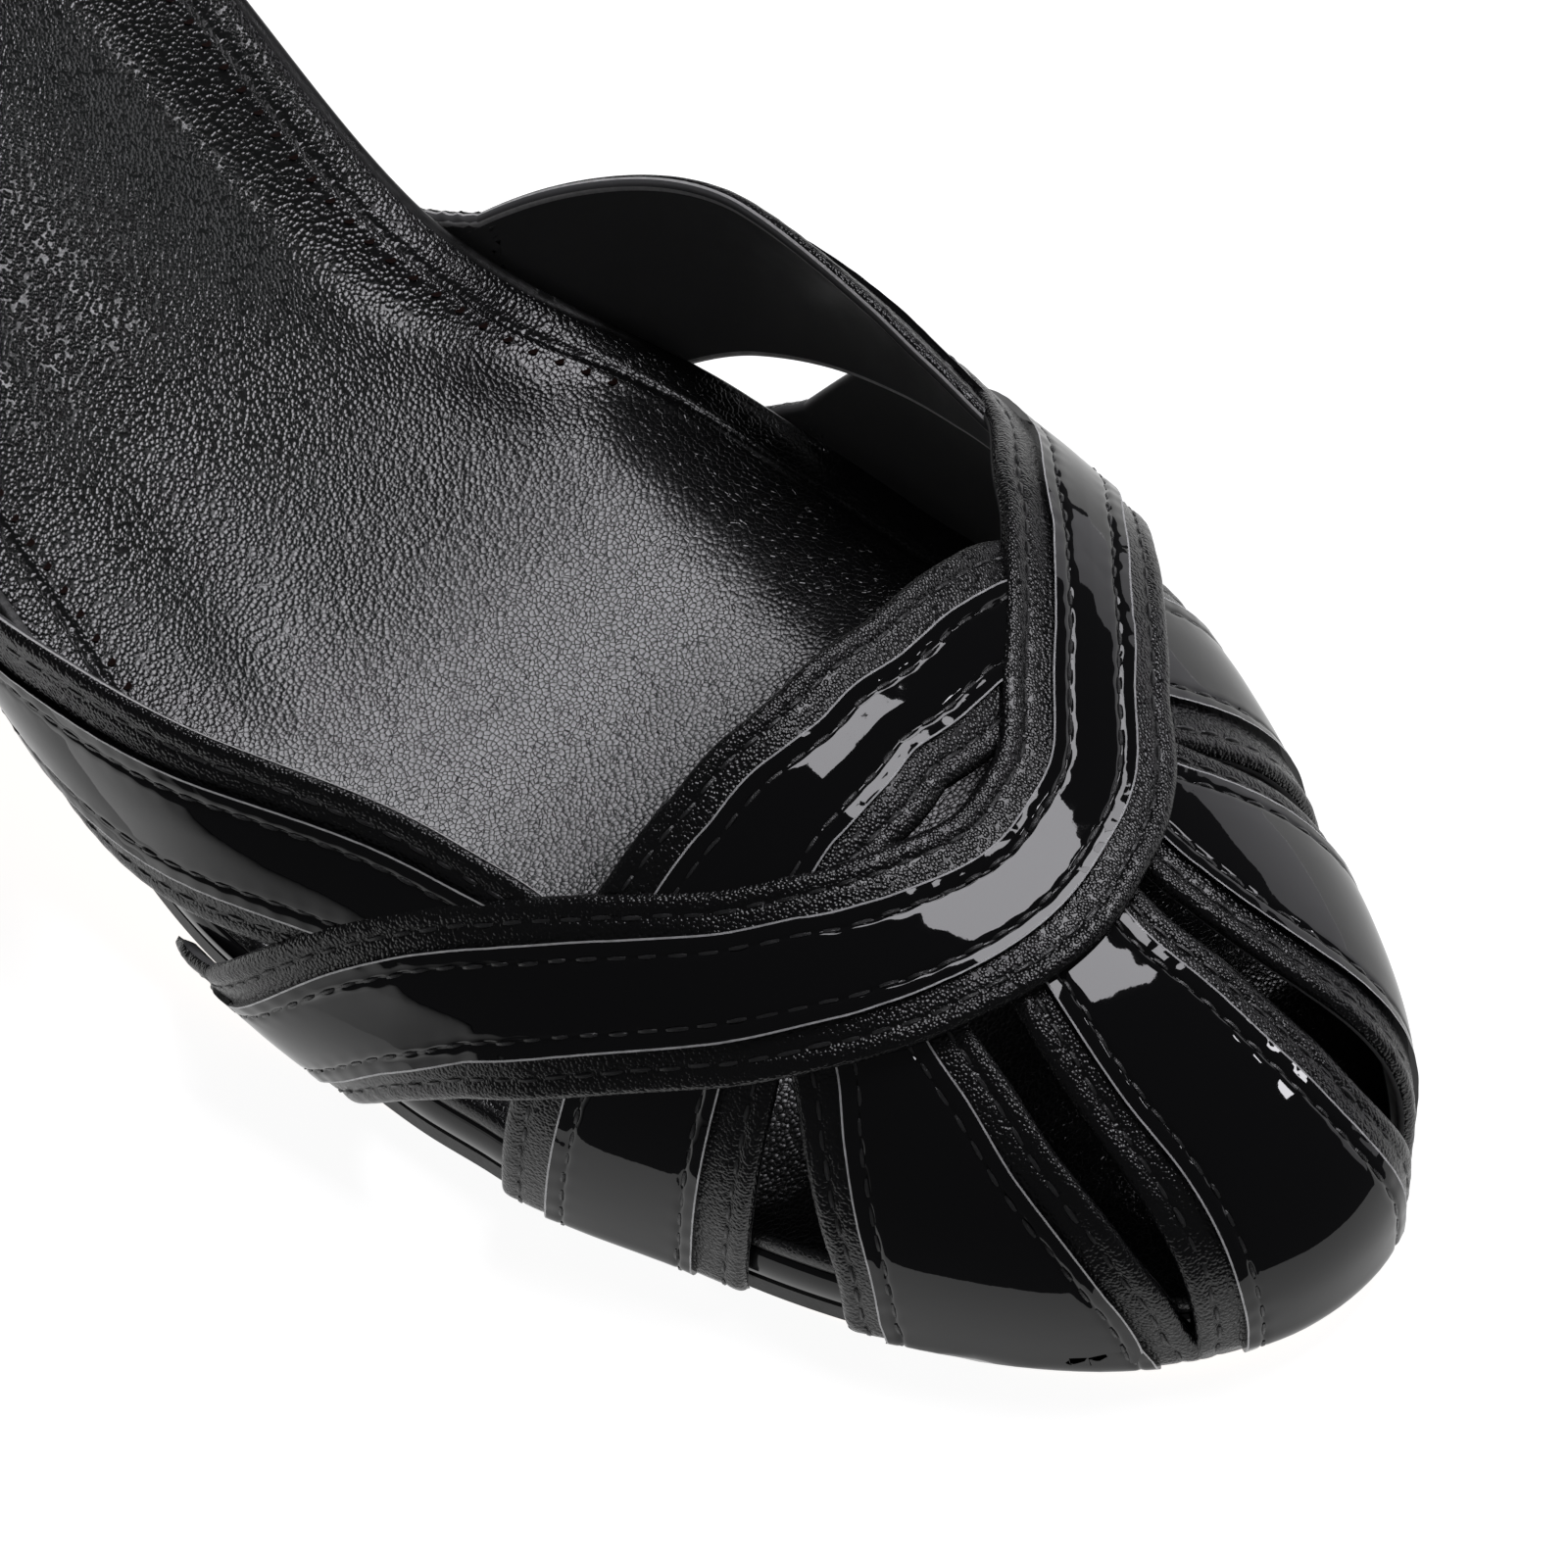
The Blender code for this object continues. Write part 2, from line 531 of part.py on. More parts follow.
def build_heel(parts, finishes):
    """Covered heel that flares from its tip to the heel seat, and the top piece under it."""
    seat_x, seat_y = heel_ring(HEEL_SEAT_X, HEEL_BREAST, HEEL_SEAT_LENGTH + HEEL_SEAT_OFFSET,
                               HEEL_SEAT_HALF_WIDTH + HEEL_SEAT_OFFSET)
    tip_x, tip_y = heel_ring(HEEL_TIP_X, HEEL_TIP_LENGTH, HEEL_TIP_LENGTH, HEEL_TIP_WIDTH)
    seat_z = section("feather", seat_x) - GAP
    tip_z = TOP_PIECE_HEIGHT + GAP
    rings = []
    for up in np.linspace(0, 1, HEEL_RINGS):
        flare = up**HEEL_TAPER
        ring = (tip_x + (seat_x - tip_x)*flare, tip_y + (seat_y - tip_y)*flare, tip_z + (seat_z - tip_z)*up)
        rings.append(np.stack(ring, -1))
    add_object("heel", ring_loft("heel", rings), finishes["heel"], parts)
    top_piece_rings = [np.stack([tip_x, tip_y, np.full_like(tip_x, z)], -1) for z in (0.0, TOP_PIECE_HEIGHT)]
    add_object("top_piece", ring_loft("top_piece", top_piece_rings), finishes["rubber"], parts)


def counter_path():
    """x, y and outward direction round the back of the heel seat, from the medial to the lateral front."""
    turn = np.linspace(-1, 1, COUNTER_STATIONS)
    back = np.clip((1 - COUNTER_STRAIGHT - np.abs(turn))/(1 - COUNTER_STRAIGHT), 0, 1)
    along = np.clip((np.abs(turn) - 1 + COUNTER_STRAIGHT)/COUNTER_STRAIGHT, 0, 1)
    angle = back*np.pi/2
    x = HEEL_SEAT_X - HEEL_SEAT_LENGTH*np.sin(angle) + along*(COUNTER_FRONT_X - HEEL_SEAT_X)
    half = np.where(turn < 0, section("medial", x), section("lateral", x))
    half = np.where(back > 0, HEEL_SEAT_HALF_WIDTH*np.cos(angle), half)
    y = section("centre", x) + np.sign(turn)*half
    run = np.gradient(np.stack([x, y], -1), axis=0)
    out = np.stack([-run[:, 1], run[:, 0]], -1)
    return x, y, out/np.linalg.norm(out, axis=1, keepdims=True)


def build_counter(parts, finish):
    """Plain closed heel counter, low at its front ends and high at the back."""
    x, y, out = counter_path()
    back = smooth_step((COUNTER_FRONT_X - x)/(COUNTER_FRONT_X - HEEL_SEAT_X + HEEL_SEAT_LENGTH))
    rise = COUNTER_FRONT_HEIGHT + (COUNTER_BACK_HEIGHT - COUNTER_FRONT_HEIGHT)*back
    height = np.linspace(0, 1, COUNTER_LEVELS)[None, :]*rise[:, None]
    lean = smooth_through(COUNTER_LEAN[:, 0], COUNTER_LEAN[:, 1], height)
    foot = np.stack([x, y], -1)[:, None, :]
    level = section("feather", x)[:, None] + height

    def wall(offset):
        plan = foot + out[:, None, :]*(offset - lean)[..., None]
        return np.concatenate([plan, level[..., None]], -1)

    add_object("heel_counter", thick_sheet("heel_counter", wall(0.0), wall(COUNTER_WALL)), finish, parts)


def new_collection(name):
    made = bpy.data.collections.new(name)
    bpy.context.scene.collection.children.link(made)
    return made


def build_pump():
    for thing in list(bpy.data.objects):
        bpy.data.objects.remove(thing, do_unlink=True)
    parts = new_collection("leather_pump")
    cutters = new_collection("joined_bands")
    finishes = {
        "nappa": material("black nappa", NAPPA_BLACK, 0.45),
        "patent": material("black patent leather", PATENT_BLACK, 0.08),
        "insole": material("black insole nappa", INSOLE_BLACK, 0.5),
        "sole": material("tan sole leather", SOLE_TAN, 0.55),
        "heel": material("black heel cover", PATENT_BLACK, 0.12),
        "rubber": material("black rubber", RUBBER_BLACK, 0.7),
    }
    trim_mesh = sole_plate("sole_trim", TRIM_REACH, -TRIM_DEPTH, TRIM_HEIGHT)
    trim = add_cutter("sole_trim", trim_mesh, finishes["rubber"], cutters)
    build_upper(parts, cutters, trim, finishes["nappa"])
    build_patent_strips(parts, cutters, trim, finishes["patent"])
    build_sole(parts, finishes)
    build_heel(parts, finishes)
    build_counter(parts, finishes["nappa"])


build_pump()
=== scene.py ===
"""Looks of the strappy leather pump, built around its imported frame.

Sizes are in millimetres and in the shoe's own directions: x from heel to toe, y to the wearer's left, z up.
A place on the last is a pair (q, t): q goes round the feather line from the toe tip (0) over the ball
(-1 medial, 1 lateral) to the waist, t climbs from the feather line (0) to the crest of the instep (1).
"""

import math

import bmesh
import bpy
import numpy as np
from mathutils import Matrix, Vector


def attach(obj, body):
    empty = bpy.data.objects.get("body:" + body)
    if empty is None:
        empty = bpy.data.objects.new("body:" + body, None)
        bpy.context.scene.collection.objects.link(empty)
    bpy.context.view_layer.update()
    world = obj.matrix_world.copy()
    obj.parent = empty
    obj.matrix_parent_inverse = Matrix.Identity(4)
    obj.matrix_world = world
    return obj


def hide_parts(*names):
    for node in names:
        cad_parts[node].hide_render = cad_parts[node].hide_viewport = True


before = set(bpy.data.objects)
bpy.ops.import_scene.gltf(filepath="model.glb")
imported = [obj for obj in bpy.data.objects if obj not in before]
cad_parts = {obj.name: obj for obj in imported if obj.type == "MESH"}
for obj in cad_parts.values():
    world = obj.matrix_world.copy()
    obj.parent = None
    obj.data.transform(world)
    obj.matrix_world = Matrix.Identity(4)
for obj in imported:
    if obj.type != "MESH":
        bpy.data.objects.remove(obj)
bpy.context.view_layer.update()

MM = 0.001

# The last, as in the part's source
TOE_REACH = 65.5
BALL_HALF_WIDTH = 37.5
LATERAL_TAPER = 0.085
MEDIAL_JOINT = 2.4
JOINT_TURN = math.radians(72)
BULGE = 1.2
BELLY_PACE = 1.6
LOW_BELLY_PACE = 2.2
LOW_BELLY_POWER = 0.7
HEEL_SEAT_X = -122.0
HEEL_SEAT_LENGTH = 28.0
HEEL_SEAT_HALF_WIDTH = 25.0
Q_PACE = TOE_REACH*math.pi/2
SKIRT = 60.0
LAST_COLUMNS = ("x", "centre", "medial", "lateral", "feather", "crest", "square", "overhang", "flare")
LAST_SECTIONS = np.array((
    (-150, 2.0, 25.0, 25.0, 65.0, 110, 2.2, 0.0, 0.0),
    (-120, 2.0, 25.0, 25.0, 57.0, 100, 2.2, 0.0, 0.0),
    (-90, 4.0, 26.0, 27.3, 40.0, 90, 2.2, 2.0, 0.0),
    (-60, 4.5, 34.5, 25.4, 19.0, 75, 2.2, 3.4, 1.4),
    (-30, 2.5, 40.0, 35.6, 6.0, 57, 2.2, 3.2, 3.1),
    (-15, 1.5, 40.2, 37.3, 3.0, 50, 2.2, 1.6, 3.2),
    (-8, 1.0, 40.2, 37.4, 2.5, 47.4, 2.2, 1.0, 2.5),
    (0, 0.5, 39.9, 37.5, 2.5, 44.6, 2.2, 0.6, 1.2),
    (20, -1.0, 39.9, 37.5, 2.5, 36.8, 2.5, 0.0, 0.0),
    (36, -2.3, 39.9, 37.5, 2.8, 31.6, 2.75, 0.0, 0.0),
    (45, -3.0, 39.9, 37.5, 3.1, 31.0, 2.85, 0.0, 0.0),
    (65.5, -5.7, 39.9, 37.5, 4.5, 31.5, 2.9, 0.0, 0.0),
), float)
STRAP_COLUMNS = ("q", "t", "band", "patent")
STRAPS = {
    "front": (
        (-1.30, -0.14, 18.0, 10.2), (-1.215, 0.00, 17.5, 10.0), (-1.09, 0.20, 16.5, 9.5),
        (-0.955, 0.35, 16.0, 8.8), (-0.81, 0.463, 15.5, 8.5), (-0.655, 0.585, 16.0, 8.5),
        (-0.46, 0.69, 16.5, 8.4), (-0.225, 0.75, 16.5, 8.2), (0.02, 0.78, 16.0, 7.8),
        (0.23, 0.77, 15.5, 7.4), (0.44, 0.74, 15.0, 7.2), (0.62, 0.68, 15.0, 7.2),
        (0.805, 0.56, 15.5, 7.6), (0.955, 0.355, 16.5, 8.6), (1.07, 0.172, 21.0, 9.9),
        (1.178, 0.00, 19.4, 10.0), (1.265, -0.14, 19.8, 10.2)),
    "throat": (
        (-0.875, -0.16, 23.5, 14.0), (-0.87, 0.00, 23.0, 13.8), (-0.86, 0.185, 22.5, 13.2),
        (-0.85, 0.315, 21.5, 12.6), (-0.83, 0.48, 19.5, 11.0), (-0.77, 0.645, 17.5, 9.6),
        (-0.68, 0.77, 16.5, 8.8), (-0.52, 0.86, 16.0, 7.8), (-0.33, 0.903, 15.5, 7.5),
        (-0.09, 0.915, 15.5, 7.4), (0.13, 0.909, 15.5, 7.4), (0.31, 0.885, 15.5, 7.4),
        (0.53, 0.80, 16.5, 8.0), (0.595, 0.695, 18.5, 9.5), (0.62, 0.605, 20.0, 11.0),
        (0.655, 0.42, 21.5, 12.5), (0.668, 0.21, 22.5, 13.5), (0.665, 0.00, 23.0, 14.0),
        (0.66, -0.16, 23.5, 14.2)),
    "toe_medial": (
        (-0.62, 0.585, 14.0, 7.0), (-0.60, 0.505, 15.0, 7.4), (-0.583, 0.41, 18.0, 10.5),
        (-0.56, 0.255, 22.0, 14.3), (-0.515, 0.07, 27.5, 20.0), (-0.49, 0.00, 29.0, 21.5),
        (-0.45, -0.16, 30.0, 23.0)),
    "toe_middle": (
        (-0.175, 0.72, 14.5, 9.0), (-0.185, 0.645, 16.0, 9.8), (-0.163, 0.515, 19.5, 12.6),
        (-0.135, 0.39, 22.0, 14.0), (-0.103, 0.145, 24.0, 16.2), (-0.08, 0.00, 25.0, 17.0),
        (-0.07, -0.16, 25.5, 17.5)),
    "toe_lateral": (
        (0.245, 0.75, 12.5, 6.3), (0.273, 0.685, 13.5, 7.1), (0.287, 0.595, 17.5, 11.0),
        (0.30, 0.505, 21.0, 14.2), (0.323, 0.245, 25.0, 17.5), (0.33, 0.00, 27.0, 19.0),
        (0.325, -0.16, 27.5, 19.5)),
    "side_medial": (
        (-1.80, -0.22, 19.2, 10.2), (-1.62, 0.006, 19.2, 10.2), (-1.53, 0.064, 18.8, 10.0),
        (-1.43, 0.139, 18.2, 9.8), (-1.33, 0.206, 17.5, 9.6), (-1.225, 0.267, 16.5, 9.4),
        (-1.12, 0.315, 15.5, 9.0), (-1.02, 0.342, 14.0, 8.4), (-0.93, 0.36, 12.0, 7.6)),
    "side_lateral": (
        (1.62, -0.22, 23.2, 11.6), (1.475, 0.00, 22.8, 11.4), (1.405, 0.10, 21.8, 11.2),
        (1.325, 0.187, 20.8, 10.8), (1.238, 0.257, 20.0, 10.6), (1.135, 0.308, 18.2, 10.2),
        (1.035, 0.335, 14.5, 9.0), (0.95, 0.355, 12.0, 8.0)),
}
# Patent strips: strap, and which of its runs outside the front band, counted along the centre line
PATENT_STRIPS = {
    "patent_front": ("front", 0),
    "patent_throat": ("throat", 1),
    "patent_toe_medial_outer": ("throat", 0),
    "patent_toe_medial_inner": ("toe_medial", 0),
    "patent_toe_middle": ("toe_middle", 0),
    "patent_toe_lateral_inner": ("toe_lateral", 0),
    "patent_toe_lateral_outer": ("throat", 2),
    "patent_side_medial": ("side_medial", 0),
    "patent_side_lateral": ("side_lateral", 0),
}
LINE_SAMPLES = 420
WALK_STEPS = 12
SLOPE_STEP = 0.004
LEVEL_T = 0.08

# Nappa bands: steps in from the edge, rolled edge, seam.
# A ridge or groove has a height, a place and a width; a wave has a height, a length and a seed.
BAND_STATION = 0.6
BAND_EDGE_STEPS = (0.0, 0.08, 0.2, 0.36, 0.55, 0.8, 1.1, 1.45, 1.7, 1.9, 2.1, 2.35, 2.8, 3.4)
BAND_INNER_COLUMNS = 8
RAW_EDGE_AND_HIGHLIGHT_COLUMNS = (3, 4)     # of the lining, where the turned edge ends; they take the pale raw edge, made paler still to paint the light line it shows
STRAP_WALL = 1.5
FRONT_WALL = 1.6
FRONT_LIFT = 1.45
FRONT_FOOT_LIFT = 0.5
FRONT_TILT = 0.095        # its toe side rides up on the petals
FRONT_LIFT_T = 0.22
TUCK_LIFT = 0.25
TUCKED_SHARE = 0.3
TOE_DROPS = {"toe_middle": 1.5, "toe_lateral": 0.35}    # petals bend down ahead of the front band
TOE_DROP_START = (0.635, 0.42)    # in t, from the band down
TOE_DROP_END = (0.05, 0.35)       # in t, from the sole up
PETAL_TILT = 0.05         # across the middle petal
EDGE_ROLL = 0.75
EDGE_FACE = 0.16          # share of the wall that stays square at the edge
BAND_SEAM = 1.9
BAND_GROOVE = (0.18, BAND_SEAM, 0.24)
BAND_BEAD = (0.12, 1.0, 0.55)
BAND_WAVE = (0.05, 7.0, 11)
BAND_WAVE_INSETS = (0.0, 3.0)
WAVE_COUNT = 5
WAVE_SPREAD = (0.7, 1.6)
WAVE_SCALE = 0.4
BEAD_BEAT = (0.8, -0.4)   # between the needle holes, and what changes at them
GROOVE_BEAT = (0.7, 0.3)

# Patent strips: cut edge, curled lip, seam, flat middle
STRIP_STATION = 0.42
STRIP_EDGE_STEPS = (0.0, 0.0, 0.16, 0.2, 0.35, 0.7, 1.0, 1.2, 1.34, 1.45, 1.56, 1.7, 1.9, 2.3, 2.9)
STRIP_INNER_COLUMNS = 9
STRIP_BURIED = -0.25
STRIP_UNDERSIDE = -0.3
STRIP_WALL = 0.5
LIP_CURL = 0.05           # the free edge outside the seam turns up
STRIP_SEAM = 1.45
STRIP_GROOVE = (0.26, STRIP_SEAM, 0.22)
STRIP_GROOVE_BEAT = (0.5, 0.5)
STRIP_DOME = 0.06
STRIP_DOME_INSETS = (STRIP_SEAM, STRIP_SEAM + 3.0)
STRIP_TUCK = 13.0         # under the front band
PUCKER = (0.01, 2.1, 0.5)         # between the needle holes, inside the seam
LIP_PUCKER = (0.02, 0.5, 0.6)
LIP_RIPPLE = (0.022, 0.7, 0.7)
LIP_WAVE = (1.0, 1.9, 37)
STRIP_WAVE = (0.009, 9.0, 23)
STRIP_WAVE_INSETS = (1.5, 3.5)
ROLL_DEPTH = 1.4          # straps roll down over the outsole's edge, below the feather line
ROLL_RADIUS = 1.9
ROLL_THINNEST = 0.12

# Stitches; rings of one: place along it, size, height
STITCH_PITCH = 2.6
STITCH_FILL = 0.84        # share of the pitch that the thread shows
STITCH_RADIUS = 0.23
STITCH_STRAY = 0.06
STITCH_LENGTH_STRAY = 0.08
STITCH_SIDES = 6
STITCH_SINK = 0.06
STITCH_RINGS = ((-0.5, 0.25, -0.30), (-0.36, 0.85, -0.02), (-0.12, 1.0, 0.06),
                (0.12, 1.0, 0.06), (0.36, 0.85, -0.02), (0.5, 0.25, -0.30))

# Sole, heights above the feather line
TOE_ROWS = 90
SIDE_ROWS = 260
HEEL_ROWS = 60
SPINE_FRONT_X = 26.0
OUTSOLE_OFFSET = -0.6
OUTSOLE_TOP = -0.3
OUTSOLE_BOTTOM = -2.5
OUTSOLE_END_X = -102.6
OUTSOLE_BACK_ROWS = 20
OUTSOLE_BACK_STEP = 8.0   # from its back edge to the end of its spine
RIM_OFFSET = -0.3
RIM_HEIGHT = 3.6
INSOLE_LOW = 3.75
INSOLE_TOP = 6.0
# Profiles: steps in from the outline (None is the spine) and heights
RIM_PROFILE = ((None, 0.0), (1.0, 0.0), (0.25, 0.08), (0.0, 0.5), (-0.12, 1.8), (0.0, 3.1), (0.3, 3.5),
               (1.0, RIM_HEIGHT), (None, RIM_HEIGHT))
OUTSOLE_PROFILE = ((None, OUTSOLE_TOP), (0.25, OUTSOLE_TOP), (0.0, OUTSOLE_TOP - 0.25),
                   (0.0, OUTSOLE_BOTTOM + 0.3), (0.3, OUTSOLE_BOTTOM), (1.2, OUTSOLE_BOTTOM),
                   (None, OUTSOLE_BOTTOM))
OUTSOLE_EDGE_RINGS = 4
INSOLE_EDGE_PROFILE = ((None, INSOLE_LOW), (0.6, INSOLE_LOW), (0.15, INSOLE_LOW + 0.15),
                       (0.0, INSOLE_LOW + 0.6), (0.05, INSOLE_LOW + 1.1), (0.22, INSOLE_TOP - 0.62),
                       (0.55, INSOLE_TOP - 0.3))
INSOLE_STEPS = (1.0, 1.5, 2.0, 2.6, 3.2, 3.7, 4.1, 4.4, 4.7, 5.0, 5.3, 5.6, 5.9, 6.4, 7.0, 7.8, 8.8, 10.0,
                11.4, 13.0, 14.8, 16.8, 19.0, 21.5, 24.0, 27.0, 30.0, 34.0, 38.0, None)
INSOLE_HIDDEN_RINGS = 3
INSOLE_SMOOTH_RINGS = 8   # along the waist the cover's edge is smooth and black
INSOLE_SMOOTH_X = -36.0
# Relief of the insole's cover: crown, edge, border seam
INSOLE_CROWN = 0.5
INSOLE_CROWN_INSETS = (2.0, 16.0)
INSOLE_DIP = 0.22
INSOLE_DIP_INSETS = (2.1, 0.5)
INSOLE_BORDER_DROP = 0.3
INSOLE_SEAM = 5.0
INSOLE_GROOVE = (0.22, INSOLE_SEAM, 0.4)
INSOLE_BEAD = (0.1, 5.9, 0.5)
INSOLE_SEAM_START = (10.0, -2.0)
# Soft folds of its waist: where they come and go along x, places across, depths and widths
WAIST_START = (-12.0, -60.0)
WAIST_END = (-118.0, -98.0)
TROUGH_START = (-34.0, -48.0)
TROUGH_BEND = (-64.0, -40.0)
TROUGH_PLACE = 13.2
TROUGH_SWING = 8.0
TROUGH = (1.2, 0.0, 5.2)
HOLLOW_START = (-32.0, -52.0)
HOLLOW_DEPTH = 1.3
HOLLOW_WIDTHS = (19.0, 7.0)
RISE_ALONG = (1.1, -54.0, 7.0)
RISE_ACROSS = (1.0, 19.0, 5.5)
FOLD_START = (-32.0, -48.0)
FOLD_END = (-100.0, -75.0)
FOLD_PLACE = -27.5        # across, at x = 0
FOLD_SWING = -0.2
FOLD_DEPTH = 0.4
FOLD_WIDTH = 4.5
HOLE_INSET = 6.4
HOLE_PITCH = 2.5
HOLE_SIDES = 8
HOLE_RADIUS = 0.58
HOLE_SHAPE = 0.8
HOLE_RIM = 0.05
HOLE_MIDDLE = 0.02
HOLES_FRONT_X = -38.0

# Heel, top piece and counter
HEEL_SEAT_OFFSET = 0.8
HEEL_BREAST = 19.0
HEEL_TIP_X = -129.0
HEEL_TIP_LENGTH = 7.0
HEEL_TIP_WIDTH = 6.5
HEEL_TAPER = 2.7
HEEL_RINGS = 48
HEEL_SIDES = 96
BREAST_SQUARE = 3.2
HEEL_SEAT_LINE = (0.012, 0.955, 0.012)
HEEL_TIP_LINE = (0.02, 0.0, 0.012)
TOP_PIECE_HEIGHT = 5.0
TOP_PIECE_LEVELS = ((0.0, 0.94), (0.35, 1.0), (TOP_PIECE_HEIGHT - 0.3, 1.0), (TOP_PIECE_HEIGHT, 0.97))
PIECE_GAP = 0.3
COUNTER_WALL = 1.8
COUNTER_FRONT_X = -84.0
COUNTER_BACK_HEIGHT = 48.0
COUNTER_FRONT_HEIGHT = 7.0
COUNTER_STRAIGHT = 0.36
COUNTER_STATIONS = 221
COUNTER_LEVELS = 32
COUNTER_SPREAD = 0.8
COUNTER_ROLL = 0.9
COUNTER_SEAM = 2.4
COUNTER_TOP_STEPS = (3.0, 2.7, COUNTER_SEAM, 2.1, 1.6, 1.0, 0.5, 0.2, 0.0)
COUNTER_GROOVE = (0.2, COUNTER_SEAM, 0.35)
COUNTER_BEAD = (0.12, 1.2, 0.6)
BACK_SEAM = (0.25, 0.0, 0.006)
COUNTER_LEAN = np.array(((0, 0.0), (12, -1.4), (24, -0.6), (36, 2.4), (48, 6.0)), float)

# Insole's grain: size, stretch, and where it becomes worn, in metres along x
INSOLE_GRAIN = 0.42
INSOLE_GRAIN_STRETCH = (1.0, 0.8, 1.0)
WORN_SPAN = (-0.056, -0.034)
NOISE_SPAN = (0.3, 0.7)   # where nearly all of a noise's values lie

# Camera and lights
CAMERA_AZIMUTH = 36.0
CAMERA_ELEVATION = 50.0
CAMERA_DISTANCE = 900.0
PIXELS_PER_MM = 11.8
FRAME_PIXELS = 1600
ORIGIN_PIXEL = (783, 911)
SENSOR = 36.0
LIGHT_TINT = (0.965, 0.955, 1.0)
# Softboxes, metres: reach in x and y as shares of the ceiling's height, radiance
CEILING = 1.1
SOFTBOXES = (
    ("key_softbox", (-0.25, 0.32), (0.15, 0.58), 6.6),
    ("fill_softbox", (-0.5, 0.06), (0.585, 0.79), 5.6),
    ("side_softbox", (0.7, 0.84), (0.73, 0.84), 16.0),
)
WORLD_COLOUR = (0.06, 0.06, 0.062)
BACKDROP_PLACE = (0.75, 1.75, 0.35)
BACKDROP_AIM = (0, 0, 0.02)
BACKDROP_SIZE = (2.2, 0.9)
BACKDROP_RADIANCE = 0.8
FLOOR_REACH = 4000.0
FLOOR_GLOW = 0.94
TABLE_Z = -0.3
# What the gloss sees of the table, corners in millimetres, radiance, and where it fades in x and in y
TABLE_ZONES = (
    ("table_back", ((-20, -66), (5, -62), (45, -54), (104, -38), (118, 10), (160, 130), (900, 2600),
                    (-1700, 2600), (-1700, -60), (-30, -60)), 0.75, None),
    ("table_left", ((-30, -60), (-1700, -60), (-1700, -240), (0, -240), (0, -64), (-20, -66)), 1.5,
     ((0, -60), (-235, -70))),
)


def smooth_through(keys, values, x):
    """Monotone cubic through the pairs of keys and values."""
    spans = np.diff(keys)
    slopes = np.diff(values)/spans
    tangents = np.zeros_like(values)
    tangents[0] = slopes[0]
    tangents[-1] = slopes[-1]
    rising = slopes[1:]*slopes[:-1] > 0
    near = 2*spans[1:] + spans[:-1]
    far = spans[1:] + 2*spans[:-1]
    before = slopes[:-1][rising]
    after = slopes[1:][rising]
    tangents[1:-1][rising] = (near + far)[rising]/(near[rising]/before + far[rising]/after)
    x = np.clip(np.asarray(x, float), keys[0], keys[-1])
    k = np.clip(np.searchsorted(keys, x) - 1, 0, len(spans) - 1)
    return hermite((x - keys[k])/spans[k], spans[k], values[k], values[k + 1], tangents[k], tangents[k + 1])


def hermite(s, span, start, end, start_slope, end_slope):
    return ((2*s**3 - 3*s**2 + 1)*start + (s**3 - 2*s**2 + s)*span*start_slope
            + (3*s**2 - 2*s**3)*end + (s**3 - s**2)*span*end_slope)


def smooth_step(s):
    s = np.clip(s, 0, 1)
    return s*s*(3 - 2*s)


def fade(value, start, end):
    """Soft step from 0 at start to 1 at end."""
    return smooth_step((value - start)/(end - start))


def unit(vectors):
    return vectors/np.linalg.norm(vectors, axis=-1, keepdims=True)


def dot(first, second):
    return (first*second).sum(-1)


def hump(value, place, width):
    """Soft bump of height 1 at place."""
    return np.exp(-((value - place)/width)**2)


def ridge(value, shape):
    """Ridge of a height at a place, of a width."""
    height, place, width = shape
    return height*hump(value, place, width)


def rolled_edge(inset, radius):
    """Share of its wall that a rolled edge has at a distance from the edge."""
    return EDGE_FACE + (1 - EDGE_FACE)*np.sqrt(1 - (1 - np.clip(inset/radius, 0, 1))**2)


def section(name, x):
    """One column of the last's table at x."""
    return smooth_through(LAST_SECTIONS[:, 0], LAST_SECTIONS[:, LAST_COLUMNS.index(name)], x)


def toe_outline(turn, offset):
    """Feather line ahead of the ball, as x and distance from the centre line, moved out by offset."""
    taper = 1 - LATERAL_TAPER*np.sin(2*np.clip(turn, 0, np.pi/2))**2
    joint = MEDIAL_JOINT*smooth_step((-turn - JOINT_TURN)/(np.pi/2 - JOINT_TURN))
    half = BALL_HALF_WIDTH*taper + joint + offset
    return (TOE_REACH*taper + offset)*np.cos(turn), half*np.sin(turn)


def bare_last(q, t):
    """Point of the last at (q, t)."""
    q, t = np.broadcast_arrays(np.asarray(q, float), np.asarray(t, float))
    ahead = np.abs(q) <= 1
    turn = np.clip(q, -1, 1)*np.pi/2
    foot_x = np.where(ahead, TOE_REACH*np.cos(turn), -Q_PACE*(np.abs(q) - 1))
    behind = np.minimum(foot_x, 0)
    half = np.where(q < 0, section("medial", behind), section("lateral", behind))
    toe_x, toe_y = toe_outline(turn, 0.0)
    reach_x = np.where(ahead, toe_x, 0.0)
    reach_y = np.where(ahead, toe_y, np.sign(q)*half)
    power = 2/section("square", foot_x)
    angle = np.clip(t, 0, 1)*np.pi/2
    belly = np.sin(np.pi*np.clip(BELLY_PACE*t, 0, 1))
    low_belly = np.sin(np.pi*np.clip(LOW_BELLY_PACE*t, 0, 1)**LOW_BELLY_POWER)
    lean = np.where(q < 0, section("overhang", foot_x)*low_belly, section("flare", foot_x)*belly)
    share = np.cos(angle)**power + (BULGE*belly + lean)/np.hypot(reach_x, reach_y)
    x = np.where(ahead, reach_x*share, foot_x)
    y = section("centre", x) + reach_y*share
    foot = section("feather", x)
    z = foot + (section("crest", x) - foot)*np.sin(angle)**power + SKIRT*np.minimum(t, 0)
    return np.stack([x, y, z], -1)


